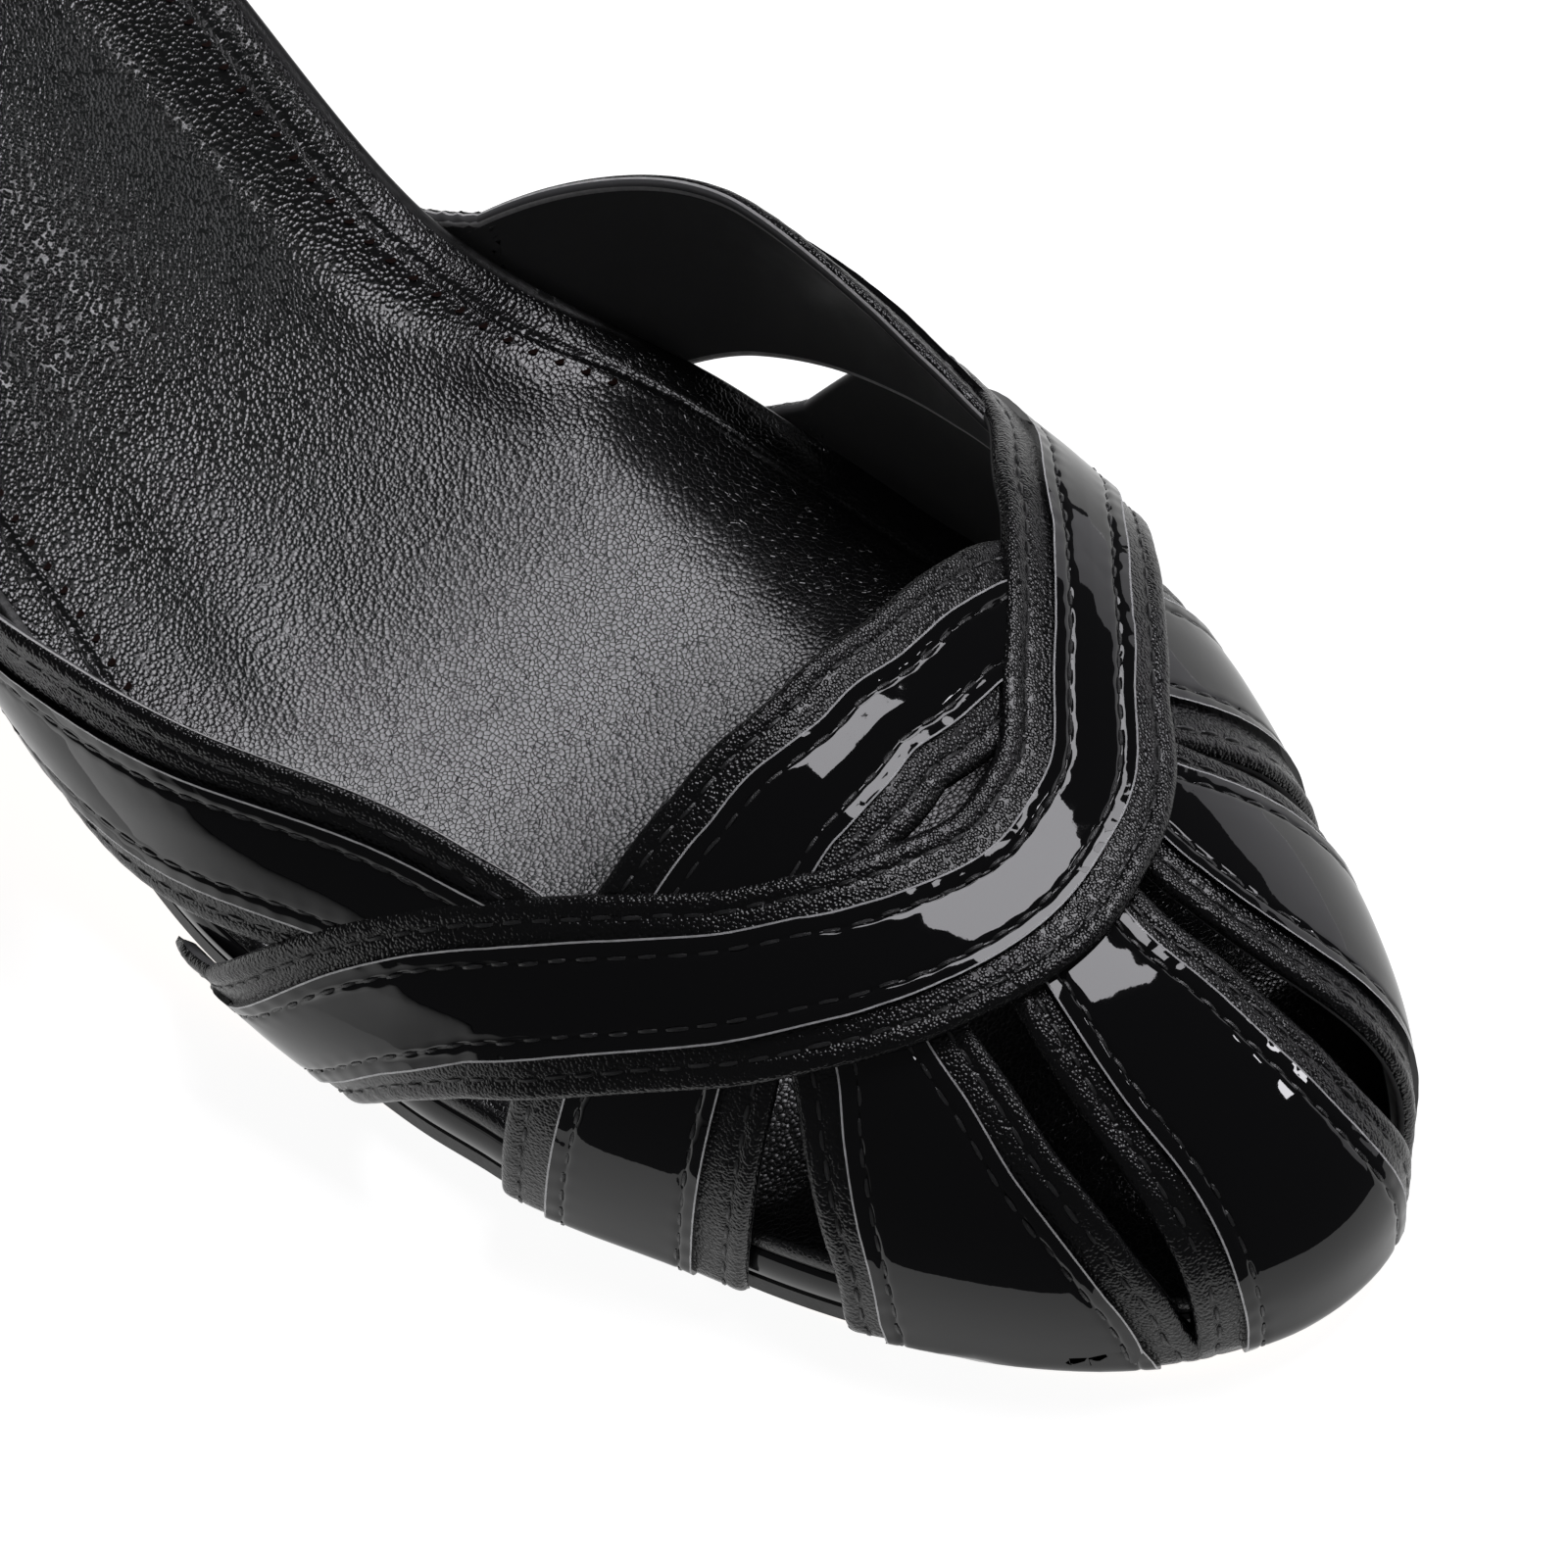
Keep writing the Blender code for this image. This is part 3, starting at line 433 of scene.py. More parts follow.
def last_frame(q, t):
    """Slopes of the last along q and t, and its outward normal."""
    along_q = (bare_last(q + SLOPE_STEP, t) - bare_last(q - SLOPE_STEP, t))/(2*SLOPE_STEP)
    along_t = (bare_last(q, t + SLOPE_STEP) - bare_last(q, t - SLOPE_STEP))/(2*SLOPE_STEP)
    normal = np.cross(along_q, along_t)
    return along_q, along_t, normal/np.maximum(np.linalg.norm(normal, axis=-1, keepdims=True), 1e-9)


def outward(q, t):
    """Normal of the last, turned level towards the feather line."""
    normal = last_frame(q, np.maximum(t, 2*SLOPE_STEP))[2]
    normal[..., 2] *= smooth_step(t/LEVEL_T)
    return unit(normal)


def walk_across(q, t, way, distance):
    """Walk a signed distance over the last from (q, t), starting in the direction way."""
    for _ in range(WALK_STEPS):
        along_q, along_t, normal = last_frame(q, t)
        way = unit(way - normal*dot(way, normal)[..., None])
        qq = dot(along_q, along_q)
        qt = dot(along_q, along_t)
        tt = dot(along_t, along_t)
        way_q = dot(way, along_q)
        way_t = dot(way, along_t)
        area = qq*tt - qt*qt
        q = q + (tt*way_q - qt*way_t)/area*distance/WALK_STEPS
        t = t + (qq*way_t - qt*way_q)/area*distance/WALK_STEPS
    return q, t


def centre_line(strap):
    """Samples of a strap's table along its centre line, one row each, columns as in STRAP_COLUMNS."""
    rows = np.array(STRAPS[strap], float)
    steps = np.linalg.norm(np.diff(bare_last(rows[:, 0], rows[:, 1]), axis=0), axis=1)
    keys = np.concatenate([[0.0], np.cumsum(steps)])
    slopes = np.gradient(rows, keys, axis=0)
    x = np.linspace(0, keys[-1], LINE_SAMPLES)
    k = np.clip(np.searchsorted(keys, x) - 1, 0, len(steps) - 1)
    span = (keys[k + 1] - keys[k])[:, None]
    return hermite((x - keys[k])[:, None]/span, span, rows[k], rows[k + 1], slopes[k], slopes[k + 1])


def path_length(points):
    """Distance along a line of points, from its first."""
    return np.concatenate([[0.0], np.cumsum(np.linalg.norm(np.diff(points, axis=0), axis=1))])


def on_line(at, along, points):
    """Points at distances along a line of points."""
    return np.stack([np.interp(at, along, points[:, k]) for k in range(3)], -1)


def spread_columns(half, edge_steps, inner_columns):
    """Signed distances across a strip of half widths half, close together at the edges."""
    steps = np.array(edge_steps)[None, :]
    inner = half[:, None] - steps[:, -1:]
    shares = np.linspace(-1, 1, inner_columns + 2)[None, 1:-1]
    return np.concatenate([steps - half[:, None], inner*shares, half[:, None] - steps[:, ::-1]], axis=1)


def shown_run(t):
    """First and last place, in samples, where a line along a strap is above its rolled end."""
    t = t + ROLL_DEPTH/SKIRT
    above = np.flatnonzero(t > 0)
    first = above[0]
    last = above[-1]
    start = first - t[first]/(t[first] - t[first - 1]) if first > 0 else first
    end = last + t[last]/(t[last] - t[last + 1]) if last < len(t) - 1 else last
    return start, end


def lay_strap(strap, width, edge_steps, inner_columns, station, span=(0.0, 1.0)):
    """Grid of a strap's places, a row across it each: q, t, inset from its edge, signed distance from its
    centre line and share of its length."""
    centre = centre_line(strap)
    half = centre[:, STRAP_COLUMNS.index(width)]/2
    path = bare_last(centre[:, 0], centre[:, 1])
    side = np.cross(last_frame(centre[:, 0], centre[:, 1])[2], np.gradient(path, axis=0))
    away = spread_columns(half, edge_steps, inner_columns)
    q, t = walk_across(centre[:, :1], centre[:, 1:2], side[:, None, :], away)
    inset = half[:, None] - np.abs(away)
    samples = np.arange(LINE_SAMPLES)
    rows = round(path_length(path)[-1]*(span[1] - span[0])/station) + 1
    picked = []
    for column in range(away.shape[1]):
        first, last = shown_run(t[:, column])
        first = max(first, span[0]*(LINE_SAMPLES - 1))
        last = min(last, span[1]*(LINE_SAMPLES - 1))
        at = np.linspace(first, last, rows)
        fields = [np.interp(at, samples, field[:, column]) for field in (q, t, inset, away)]
        picked.append(fields + [at/(LINE_SAMPLES - 1)])
    return [np.stack([fields[k] for fields in picked], axis=1) for k in range(5)]


def strip_span(strap, run):
    """Shares of a strap's length between which one of its patent strips lies, with a tuck under the front."""
    if strap == "front":
        return 0.0, 1.0
    centre = centre_line(strap)
    path = bare_last(centre[:, 0], centre[:, 1])
    front = centre_line("front")
    spine = bare_last(front[:, 0], front[:, 1])
    away = np.linalg.norm(path[:, None, :] - spine[None, :, :], axis=-1)
    nearest = away.argmin(axis=1)
    covered = away[np.arange(LINE_SAMPLES), nearest] < front[nearest, STRAP_COLUMNS.index("band")]/2
    shows = np.concatenate([[False], ~covered, [False]]).astype(int)
    starts = np.flatnonzero(np.diff(shows) == 1)
    ends = np.flatnonzero(np.diff(shows) == -1)
    tuck = STRIP_TUCK/path_length(path)[-1]*LINE_SAMPLES
    first = max(starts[run] - tuck, 0)
    last = min(ends[run] + tuck, LINE_SAMPLES - 1)
    return first/(LINE_SAMPLES - 1), last/(LINE_SAMPLES - 1)


def underside_lift(strap, t, away, share):
    """How far a strap's lining lies off the last: little at the sole, more where it crosses others."""
    if strap == "front":
        crossing = smooth_step(t/FRONT_LIFT_T)
        return FRONT_FOOT_LIFT + (FRONT_LIFT - FRONT_FOOT_LIFT - FRONT_TILT*away)*crossing
    if strap == "throat":
        return np.zeros_like(t)
    from_tuck = share if strap.startswith("toe") else 1 - share
    lift = TUCK_LIFT*smooth_step(1 - from_tuck/TUCKED_SHARE)
    if strap == "toe_middle":
        lift -= PETAL_TILT*away*fade(t, *TOE_DROP_END)
    if strap in TOE_DROPS:
        lift -= TOE_DROPS[strap]*fade(t, *TOE_DROP_START)*fade(t, *TOE_DROP_END)
    return lift


def roll_under(base):
    """Share of its thickness that a strap keeps as it rolls under at the sole."""
    rise = np.clip((base[..., 2] - section("feather", base[..., 0]) + ROLL_DEPTH)/ROLL_RADIUS, 0, 1)
    return ROLL_THINNEST + (1 - ROLL_THINNEST)*np.sqrt(1 - (1 - rise)**2)


def sheet_faces(rows, columns):
    """Facets of a closed sheet: the inner grid's, the outer grid's and the rim's, one label each."""
    index = np.arange(rows*columns).reshape(rows, columns)
    corners = (index[:-1, :-1], index[1:, :-1], index[1:, 1:], index[:-1, 1:])
    inner = np.stack(corners, -1).reshape(-1, 4)
    outer = inner[:, ::-1] + rows*columns
    rim = np.concatenate([index[:, 0], index[-1, 1:], index[-2::-1, -1], index[0, -2:0:-1]])
    after = np.roll(rim, -1)
    sides = np.stack([after, rim, rim + rows*columns, after + rows*columns], -1)
    labels = np.concatenate([np.full(len(inner), 1), np.zeros(len(outer), int), np.full(len(sides), 2)])
    return np.concatenate([inner, outer, sides]), labels


def add_object(name, data):
    made = bpy.data.objects.new(name, data)
    bpy.context.scene.collection.objects.link(made)
    return made


def add_piece(name, points, faces, finishes, picked=None, sharp=40.0):
    """Mesh object from points in millimetres, with a finish for every face."""
    mesh = bpy.data.meshes.new(name)
    mesh.from_pydata((points*MM).tolist(), [], faces if isinstance(faces, list) else faces.tolist())
    for finish in finishes:
        mesh.materials.append(finish)
    if picked is not None:
        mesh.polygons.foreach_set("material_index", np.asarray(picked, np.int32))
    body = bmesh.new()
    body.from_mesh(mesh)
    bmesh.ops.remove_doubles(body, verts=body.verts, dist=1e-7)
    bmesh.ops.recalc_face_normals(body, faces=body.faces)
    body.to_mesh(mesh)
    body.free()
    mesh.shade_smooth()
    mesh.set_sharp_from_angle(angle=math.radians(sharp))
    return add_object(name, mesh)


def declare(piece, node=None):
    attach(piece, "root")
    if node:
        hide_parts(node)
    return piece


def seam_phase(points):
    """Place along a seam, counted in stitches."""
    return path_length(points)/STITCH_PITCH


def needle_beat(phase):
    """1 at the needle holes of a seam, 0 half way between them."""
    return 0.5 + 0.5*np.cos(2*np.pi*phase)


def beaten(hole, beat):
    """Share of a relief that stays, changing at the needle holes."""
    return beat[0] + beat[1]*hole


def stitch_row(points, outwards):
    """Points and facets of a row of thread stitches along a seam."""
    along = path_length(points)
    count = int(along[-1]//STITCH_PITCH)
    places = (np.arange(count)[:, None] + 0.5)*STITCH_PITCH
    stray = np.random.default_rng(count).normal(size=(3, count, 1, 1))
    length = STITCH_PITCH*STITCH_FILL*(1 + STITCH_LENGTH_STRAY*stray[2, :, :, 0])
    step, size, height = np.array(STITCH_RINGS).T
    ring_at = places + step*length
    centre = on_line(ring_at, along, points)
    up = on_line(ring_at, along, outwards)
    run = unit(np.gradient(centre, axis=1))
    up = unit(up - run*dot(up, run)[..., None])
    across = np.cross(run, up)
    size = size[:, None, None]*STITCH_RADIUS
    height = height[:, None] - STITCH_SINK
    turn = np.linspace(0, 2*np.pi, STITCH_SIDES, endpoint=False)[None, None, :, None]
    middle = centre + up*height + STITCH_STRAY*(across*stray[0] + 0.5*up*stray[1])
    middle = middle[:, :, None, :]
    ring_points = middle + size*(np.cos(turn)*across[:, :, None, :] + np.sin(turn)*up[:, :, None, :])
    rings = len(STITCH_RINGS)
    index = np.arange(count*rings*STITCH_SIDES).reshape(count, rings, STITCH_SIDES)
    ahead = np.roll(index, -1, axis=2)
    quads = np.stack([index[:, :-1], ahead[:, :-1], ahead[:, 1:], index[:, 1:]], -1).reshape(-1, 4)
    return ring_points.reshape(-1, 3), quads


def add_stitches(name, rows, finish):
    """One piece of all the stitch rows of a strap."""
    points = []
    faces = []
    count = 0
    for line, outwards in rows:
        row_points, row_faces = stitch_row(line, outwards)
        points.append(row_points)
        faces.append(row_faces + count)
        count += len(row_points)
    return declare(add_piece(name, np.concatenate(points), np.concatenate(faces), [finish]))


def surface_wave(base, wave):
    """Slow irregular wave over the surface."""
    height, length, seed = wave
    picker = np.random.default_rng(seed)
    total = np.zeros(base.shape[:-1])
    for _ in range(WAVE_COUNT):
        way = picker.normal(size=3)
        way *= 2*np.pi/(length*picker.uniform(*WAVE_SPREAD)*np.linalg.norm(way))
        total += np.sin(base@way + picker.uniform(0, 2*np.pi))
    return height*total*WAVE_SCALE


def strap_grid(strap, width, edge_steps, inner_columns, station, seam, span=(0.0, 1.0)):
    """A strap laid on the last: places, outward directions, insets, beat of the nearer seam's needle holes,
    lift of its underside, share of its thickness that it keeps, and the columns of its two seams."""
    q, t, inset, away, share = lay_strap(strap, width, edge_steps, inner_columns, station, span)
    base = bare_last(q, t)
    columns = q.shape[1]
    column = edge_steps.index(seam)
    seams = (column, columns - 1 - column)
    near, far = [seam_phase(base[:, column])[:, None] for column in seams]
    hole = needle_beat(np.where(np.arange(columns) < columns/2, near, far))
    return base, outward(q, t), inset, hole, underside_lift(strap, t, away, share), roll_under(base), seams


def build_band(strap, finishes):
    """Folded nappa band with rolled edges and a stitched seam along each."""
    base, out, inset, hole, low, keep, seams = strap_grid(
        strap, "band", BAND_EDGE_STEPS, BAND_INNER_COLUMNS, BAND_STATION, BAND_SEAM)
    rows, columns = inset.shape
    wall = FRONT_WALL if strap == "front" else STRAP_WALL
    round_off = rolled_edge(inset, EDGE_ROLL)
    relief = ridge(inset, BAND_BEAD)*beaten(hole, BEAD_BEAT)
    relief -= ridge(inset, BAND_GROOVE)*beaten(hole, GROOVE_BEAT)
    relief += surface_wave(base, BAND_WAVE)*fade(inset, *BAND_WAVE_INSETS)
    top = low + (wall*(0.5 + 0.5*round_off) + relief)*keep
    bottom = low + wall*(0.5 - 0.5*round_off)*keep
    upper_points = base + out*top[..., None]
    lower_points = base + out*bottom[..., None]
    faces, labels = sheet_faces(rows, columns)
    lining = labels[:(rows - 1)*(columns - 1)].reshape(rows - 1, columns - 1)
    # painted highlight: on the side straps these columns and the rim take the pale raw-edge finish
    lining[:, list(RAW_EDGE_AND_HIGHLIGHT_COLUMNS) + [columns - 2 - column for column in RAW_EDGE_AND_HIGHLIGHT_COLUMNS]] = 3
    points = np.stack([lower_points, upper_points]).reshape(-1, 3)
    piece = add_piece("band_" + strap, points, faces, finishes, labels, sharp=80.0)
    declare(piece, "upper")
    return [(upper_points[:, column], out[:, column]) for column in seams]


def build_strip(name, strap, run, finishes):
    """Patent strip with a cut edge, puckered along its seams."""
    span = strip_span(strap, run)
    base, out, inset, hole, low, keep, seams = strap_grid(
        strap, "patent", STRIP_EDGE_STEPS, STRIP_INNER_COLUMNS, STRIP_STATION, STRIP_SEAM, span)
    rows, columns = inset.shape
    wall = FRONT_WALL if strap == "front" else STRAP_WALL
    height = STRIP_WALL + LIP_CURL*(1 - np.clip(inset/STRIP_SEAM, 0, 1))
    height -= ridge(inset, STRIP_GROOVE)*beaten(hole, STRIP_GROOVE_BEAT)
    height += (ridge(inset, LIP_PUCKER) + ridge(inset, PUCKER))*(1 - 2*hole)
    height += ridge(inset, LIP_RIPPLE)*surface_wave(base, LIP_WAVE)
    height += STRIP_DOME*fade(inset, *STRIP_DOME_INSETS)
    height += surface_wave(base, STRIP_WAVE)*fade(inset, *STRIP_WAVE_INSETS)
    height[:, (0, -1)] = STRIP_BURIED
    upper_points = base + out*(low + (wall + height)*keep)[..., None]
    lower_points = base + out*(low + (wall + STRIP_UNDERSIDE)*keep)[..., None]
    faces, labels = sheet_faces(rows, columns)
    # painted highlight: the outermost top band at each edge takes the pale cut-edge finish, for the paler cut
    # edge and the light line it catches
    cut = np.zeros((rows - 1, columns - 1), int)
    cut[:, (1, -2)] = 1
    picked = np.concatenate([np.zeros(cut.size, int), cut.reshape(-1), np.ones((labels == 2).sum(), int)])
    points = np.stack([lower_points, upper_points]).reshape(-1, 3)
    piece = add_piece(name, points, faces, finishes, picked, sharp=50.0)
    declare(piece, name.removesuffix("_strip"))
    return [(upper_points[:, column], out[:, column]) for column in seams]


def sole_loop(offset, end_x=None):
    """Closed outline of the sole moved out by offset, and the spine point that each of its points faces."""
    sides = []
    for side in (-1, 1):
        toe_x, toe_half = toe_outline(side*np.radians(np.linspace(0, 90, TOE_ROWS + 1)), offset)
        side_x = np.linspace(0, HEEL_SEAT_X if end_x is None else end_x, SIDE_ROWS + 1)[1:]
        side_half = side*(section("medial" if side < 0 else "lateral", side_x) + offset)
        x = np.concatenate([toe_x, side_x])
        half = np.concatenate([toe_half, side_half])
        if end_x is None:
            heel = np.radians(np.linspace(0, 90, HEEL_ROWS + 1)[1:])
            x = np.concatenate([x, HEEL_SEAT_X - (HEEL_SEAT_LENGTH + offset)*np.sin(heel)])
            half = np.concatenate([half, side*(HEEL_SEAT_HALF_WIDTH + offset)*np.cos(heel)])
        sides.append(np.stack([x, section("centre", x) + half], -1))
    medial, lateral = sides
    if end_x is None:
        loop = np.concatenate([medial[:-1], lateral[:0:-1]])
    else:
        share = np.linspace(0, 1, OUTSOLE_BACK_ROWS)[1:-1, None]
        back = medial[-1]*(1 - share) + lateral[-1]*share
        loop = np.concatenate([medial, back, lateral[:0:-1]])
    back_x = HEEL_SEAT_X if end_x is None else end_x + OUTSOLE_BACK_STEP
    spine_x = np.clip(loop[:, 0], back_x, SPINE_FRONT_X)
    return loop, np.stack([spine_x, section("centre", spine_x)], -1)


def sole_ring(loop, spine, inset, height):
    """Ring of points inset from the outline, height above the feather line; inset None is the spine."""
    away = spine - loop
    reach = np.linalg.norm(away, axis=1, keepdims=True)
    share = np.ones_like(reach) if inset is None else np.minimum(inset/reach, 1)
    plan = loop + away*share
    return np.concatenate([plan, (section("feather", plan[:, 0]) + height)[:, None]], axis=1)


def ring_faces(rings, sides):
    """Quads between rings that follow each other."""
    index = np.arange(rings*sides).reshape(rings, sides)
    ahead = np.roll(index, -1, axis=1)
    return np.stack([index[:-1], ahead[:-1], ahead[1:], index[1:]], -1).reshape(-1, 4)


def build_rim(finish):
    """Wrapped rim between the insole and the outsole."""
    loop, spine = sole_loop(RIM_OFFSET)
    rings = [sole_ring(loop, spine, inset, height) for inset, height in RIM_PROFILE]
    piece = add_piece("rim_wrap", np.concatenate(rings), ring_faces(len(rings), len(loop)), [finish])
    declare(piece, "midsole_rim")


def build_outsole(finishes):
    """Leather outsole: blackened edge, tan tread."""
    loop, spine = sole_loop(OUTSOLE_OFFSET, OUTSOLE_END_X)
    rings = [sole_ring(loop, spine, inset, height) for inset, height in OUTSOLE_PROFILE]
    faces = ring_faces(len(rings), len(loop))
    picked = np.repeat((np.arange(len(rings) - 1) >= OUTSOLE_EDGE_RINGS).astype(int), len(loop))
    piece = add_piece("outsole_leather", np.concatenate(rings), faces, finishes, picked)
    declare(piece, "outsole")


def insole_relief(x, y, inset):
    """Height of the insole's cover off its flat top: crown, border seam and the soft folds of the waist."""
    relief = INSOLE_CROWN*fade(inset, *INSOLE_CROWN_INSETS)
    relief -= INSOLE_BORDER_DROP*np.clip((INSOLE_SEAM - inset)/INSOLE_SEAM, 0, 1)**2
    relief += (ridge(inset, INSOLE_BEAD) - ridge(inset, INSOLE_GROOVE))*fade(x, *INSOLE_SEAM_START)
    across = y - section("centre", x)
    waist = fade(x, *WAIST_START)*fade(x, *WAIST_END)
    side = across - TROUGH_PLACE - TROUGH_SWING*fade(x, *TROUGH_BEND)
    hollow = hump(side, 0.0, np.where(side < 0, *HOLLOW_WIDTHS))
    relief -= waist*fade(x, *TROUGH_START)*ridge(side, TROUGH)
    relief -= HOLLOW_DEPTH*waist*fade(x, *HOLLOW_START)*hollow
    relief += ridge(x, RISE_ALONG)*ridge(across, RISE_ACROSS)
    fold = fade(x, *FOLD_START)*fade(x, *FOLD_END)
    relief -= FOLD_DEPTH*fold*hump(across, FOLD_PLACE + FOLD_SWING*x, FOLD_WIDTH)
    return relief


def build_insole(finishes):
    """Padded insole with a stitched border and a row of needle holes inside it."""
    loop, spine = sole_loop(RIM_OFFSET)
    reach = np.linalg.norm(spine - loop, axis=1)
    rings = [sole_ring(loop, spine, inset, height) for inset, height in INSOLE_EDGE_PROFILE]
    for step in INSOLE_STEPS:
        ring = sole_ring(loop, spine, step, INSOLE_TOP)
        inset = reach if step is None else np.minimum(step, reach)
        dip = INSOLE_DIP*fade(inset, *INSOLE_DIP_INSETS)
        ring[:, 2] += insole_relief(ring[:, 0], ring[:, 1], inset) - dip
        rings.append(ring)
    faces = ring_faces(len(rings), len(loop))
    order = np.arange(len(rings) - 1)[:, None]
    at_waist = loop[None, :, 0] < INSOLE_SMOOTH_X
    smooth = (order < INSOLE_HIDDEN_RINGS) | ((order < INSOLE_SMOOTH_RINGS) & at_waist)
    picked = smooth.astype(int).reshape(-1)
    piece = add_piece("insole_cover", np.concatenate(rings), faces, finishes[:2], picked, sharp=80.0)
    declare(piece, "insole")
    hole_line = sole_ring(loop, spine, HOLE_INSET, INSOLE_TOP)
    hole_line[:, 2] += insole_relief(hole_line[:, 0], hole_line[:, 1], np.minimum(HOLE_INSET, reach))
    build_needle_holes(hole_line, finishes[2])


def build_needle_holes(line, finish):
    """Row of needle holes drawn as shallow discs on the insole along a line, coloured dark to paint the shade
    inside them.
    """
    along = path_length(line)
    places = np.arange(HOLE_PITCH/2, along[-1], HOLE_PITCH)
    places = places[np.interp(places, along, line[:, 0]) < HOLES_FRONT_X]
    centre = on_line(places, along, line)
    turn = np.linspace(0, 2*np.pi, HOLE_SIDES, endpoint=False)
    circle = np.stack([np.cos(turn), HOLE_SHAPE*np.sin(turn), np.zeros(HOLE_SIDES)], -1)*HOLE_RADIUS
    rim = centre[:, None, :] + circle[None, :, :] + np.array((0, 0, HOLE_RIM))
    middle = centre[:, None, :] + np.array((0, 0, HOLE_MIDDLE))
    points = np.concatenate([rim, middle], axis=1)
    first = np.arange(len(places))[:, None]*(HOLE_SIDES + 1)
    k = np.arange(HOLE_SIDES)[None, :]
    tip = np.broadcast_to(first + HOLE_SIDES, (len(places), HOLE_SIDES))
    triangles = np.stack([first + k, first + (k + 1) % HOLE_SIDES, tip], -1)
    piece = add_piece("needle_hole_shade_discs", points.reshape(-1, 3), triangles.reshape(-1, 3), [finish])
    declare(piece)


def heel_ring(centre_x, front, back, half_width):
    """Level ring of points: a squared front half and a rounded back half."""
    angle = np.linspace(0, 2*np.pi, HEEL_SIDES, endpoint=False)
    cosine = np.cos(angle)
    sine = np.sin(angle)
    power = np.where(cosine > 0, 2/BREAST_SQUARE, 1.0)
    reach = np.where(cosine > 0, front, back)
    x = centre_x + reach*np.sign(cosine)*np.abs(cosine)**power
    y = section("centre", np.full_like(x, HEEL_SEAT_X)) + half_width*np.sign(sine)*np.abs(sine)**power
    return x, y


def capped_faces(rings, sides):
    """Quads between rings, with a face at both ends."""
    faces = ring_faces(rings, sides).tolist()
    return faces + [list(range(sides)), list(range((rings - 1)*sides, rings*sides))]


def build_heel(finishes):
    """Covered heel with a seam line under the seat, and its top piece."""
    seat_x, seat_y = heel_ring(HEEL_SEAT_X, HEEL_BREAST, HEEL_SEAT_LENGTH + HEEL_SEAT_OFFSET,
                               HEEL_SEAT_HALF_WIDTH + HEEL_SEAT_OFFSET)
    tip_x, tip_y = heel_ring(HEEL_TIP_X, HEEL_TIP_LENGTH, HEEL_TIP_LENGTH, HEEL_TIP_WIDTH)
    seat_z = section("feather", seat_x) - PIECE_GAP
    tip_z = TOP_PIECE_HEIGHT + PIECE_GAP
    middle = np.array((HEEL_SEAT_X, section("centre", HEEL_SEAT_X)))
    rings = []
    for up in np.linspace(0, 1, HEEL_RINGS):
        flare = up**HEEL_TAPER
        x = tip_x + (seat_x - tip_x)*flare
        y = tip_y + (seat_y - tip_y)*flare
        draw_in = 1 - ridge(up, HEEL_SEAT_LINE) - ridge(up, HEEL_TIP_LINE)
        x = middle[0] + (x - middle[0])*draw_in
        y = middle[1] + (y - middle[1])*draw_in
        rings.append(np.stack([x, y, tip_z + (seat_z - tip_z)*up], -1))
    piece = add_piece("heel_cover", np.concatenate(rings), capped_faces(len(rings), HEEL_SIDES), finishes[:1])
    declare(piece, "heel")
    top_rings = []
    for z, size in TOP_PIECE_LEVELS:
        x = HEEL_TIP_X + (tip_x - HEEL_TIP_X)*size
        y = middle[1] + (tip_y - middle[1])*size
        top_rings.append(np.stack([x, y, np.full_like(x, z)], -1))
    faces = capped_faces(len(top_rings), HEEL_SIDES)
    piece = add_piece("top_piece_rubber", np.concatenate(top_rings), faces, finishes[1:])
    declare(piece, "top_piece")


def counter_path():
    """x, y and outward direction round the back of the heel seat, from the medial to the lateral front."""
    turn = np.linspace(-1, 1, COUNTER_STATIONS)
    back = np.clip((1 - COUNTER_STRAIGHT - np.abs(turn))/(1 - COUNTER_STRAIGHT), 0, 1)
    along = np.clip((np.abs(turn) - 1 + COUNTER_STRAIGHT)/COUNTER_STRAIGHT, 0, 1)
    angle = back*np.pi/2
    x = HEEL_SEAT_X - HEEL_SEAT_LENGTH*np.sin(angle) + along*(COUNTER_FRONT_X - HEEL_SEAT_X)
    half = np.where(turn < 0, section("medial", x), section("lateral", x))
    half = np.where(back > 0, HEEL_SEAT_HALF_WIDTH*np.cos(angle), half)
    y = section("centre", x) + np.sign(turn)*half
    run = np.gradient(np.stack([x, y], -1), axis=0)
    out = np.stack([-run[:, 1], run[:, 0]], -1)
    return x, y, unit(out)


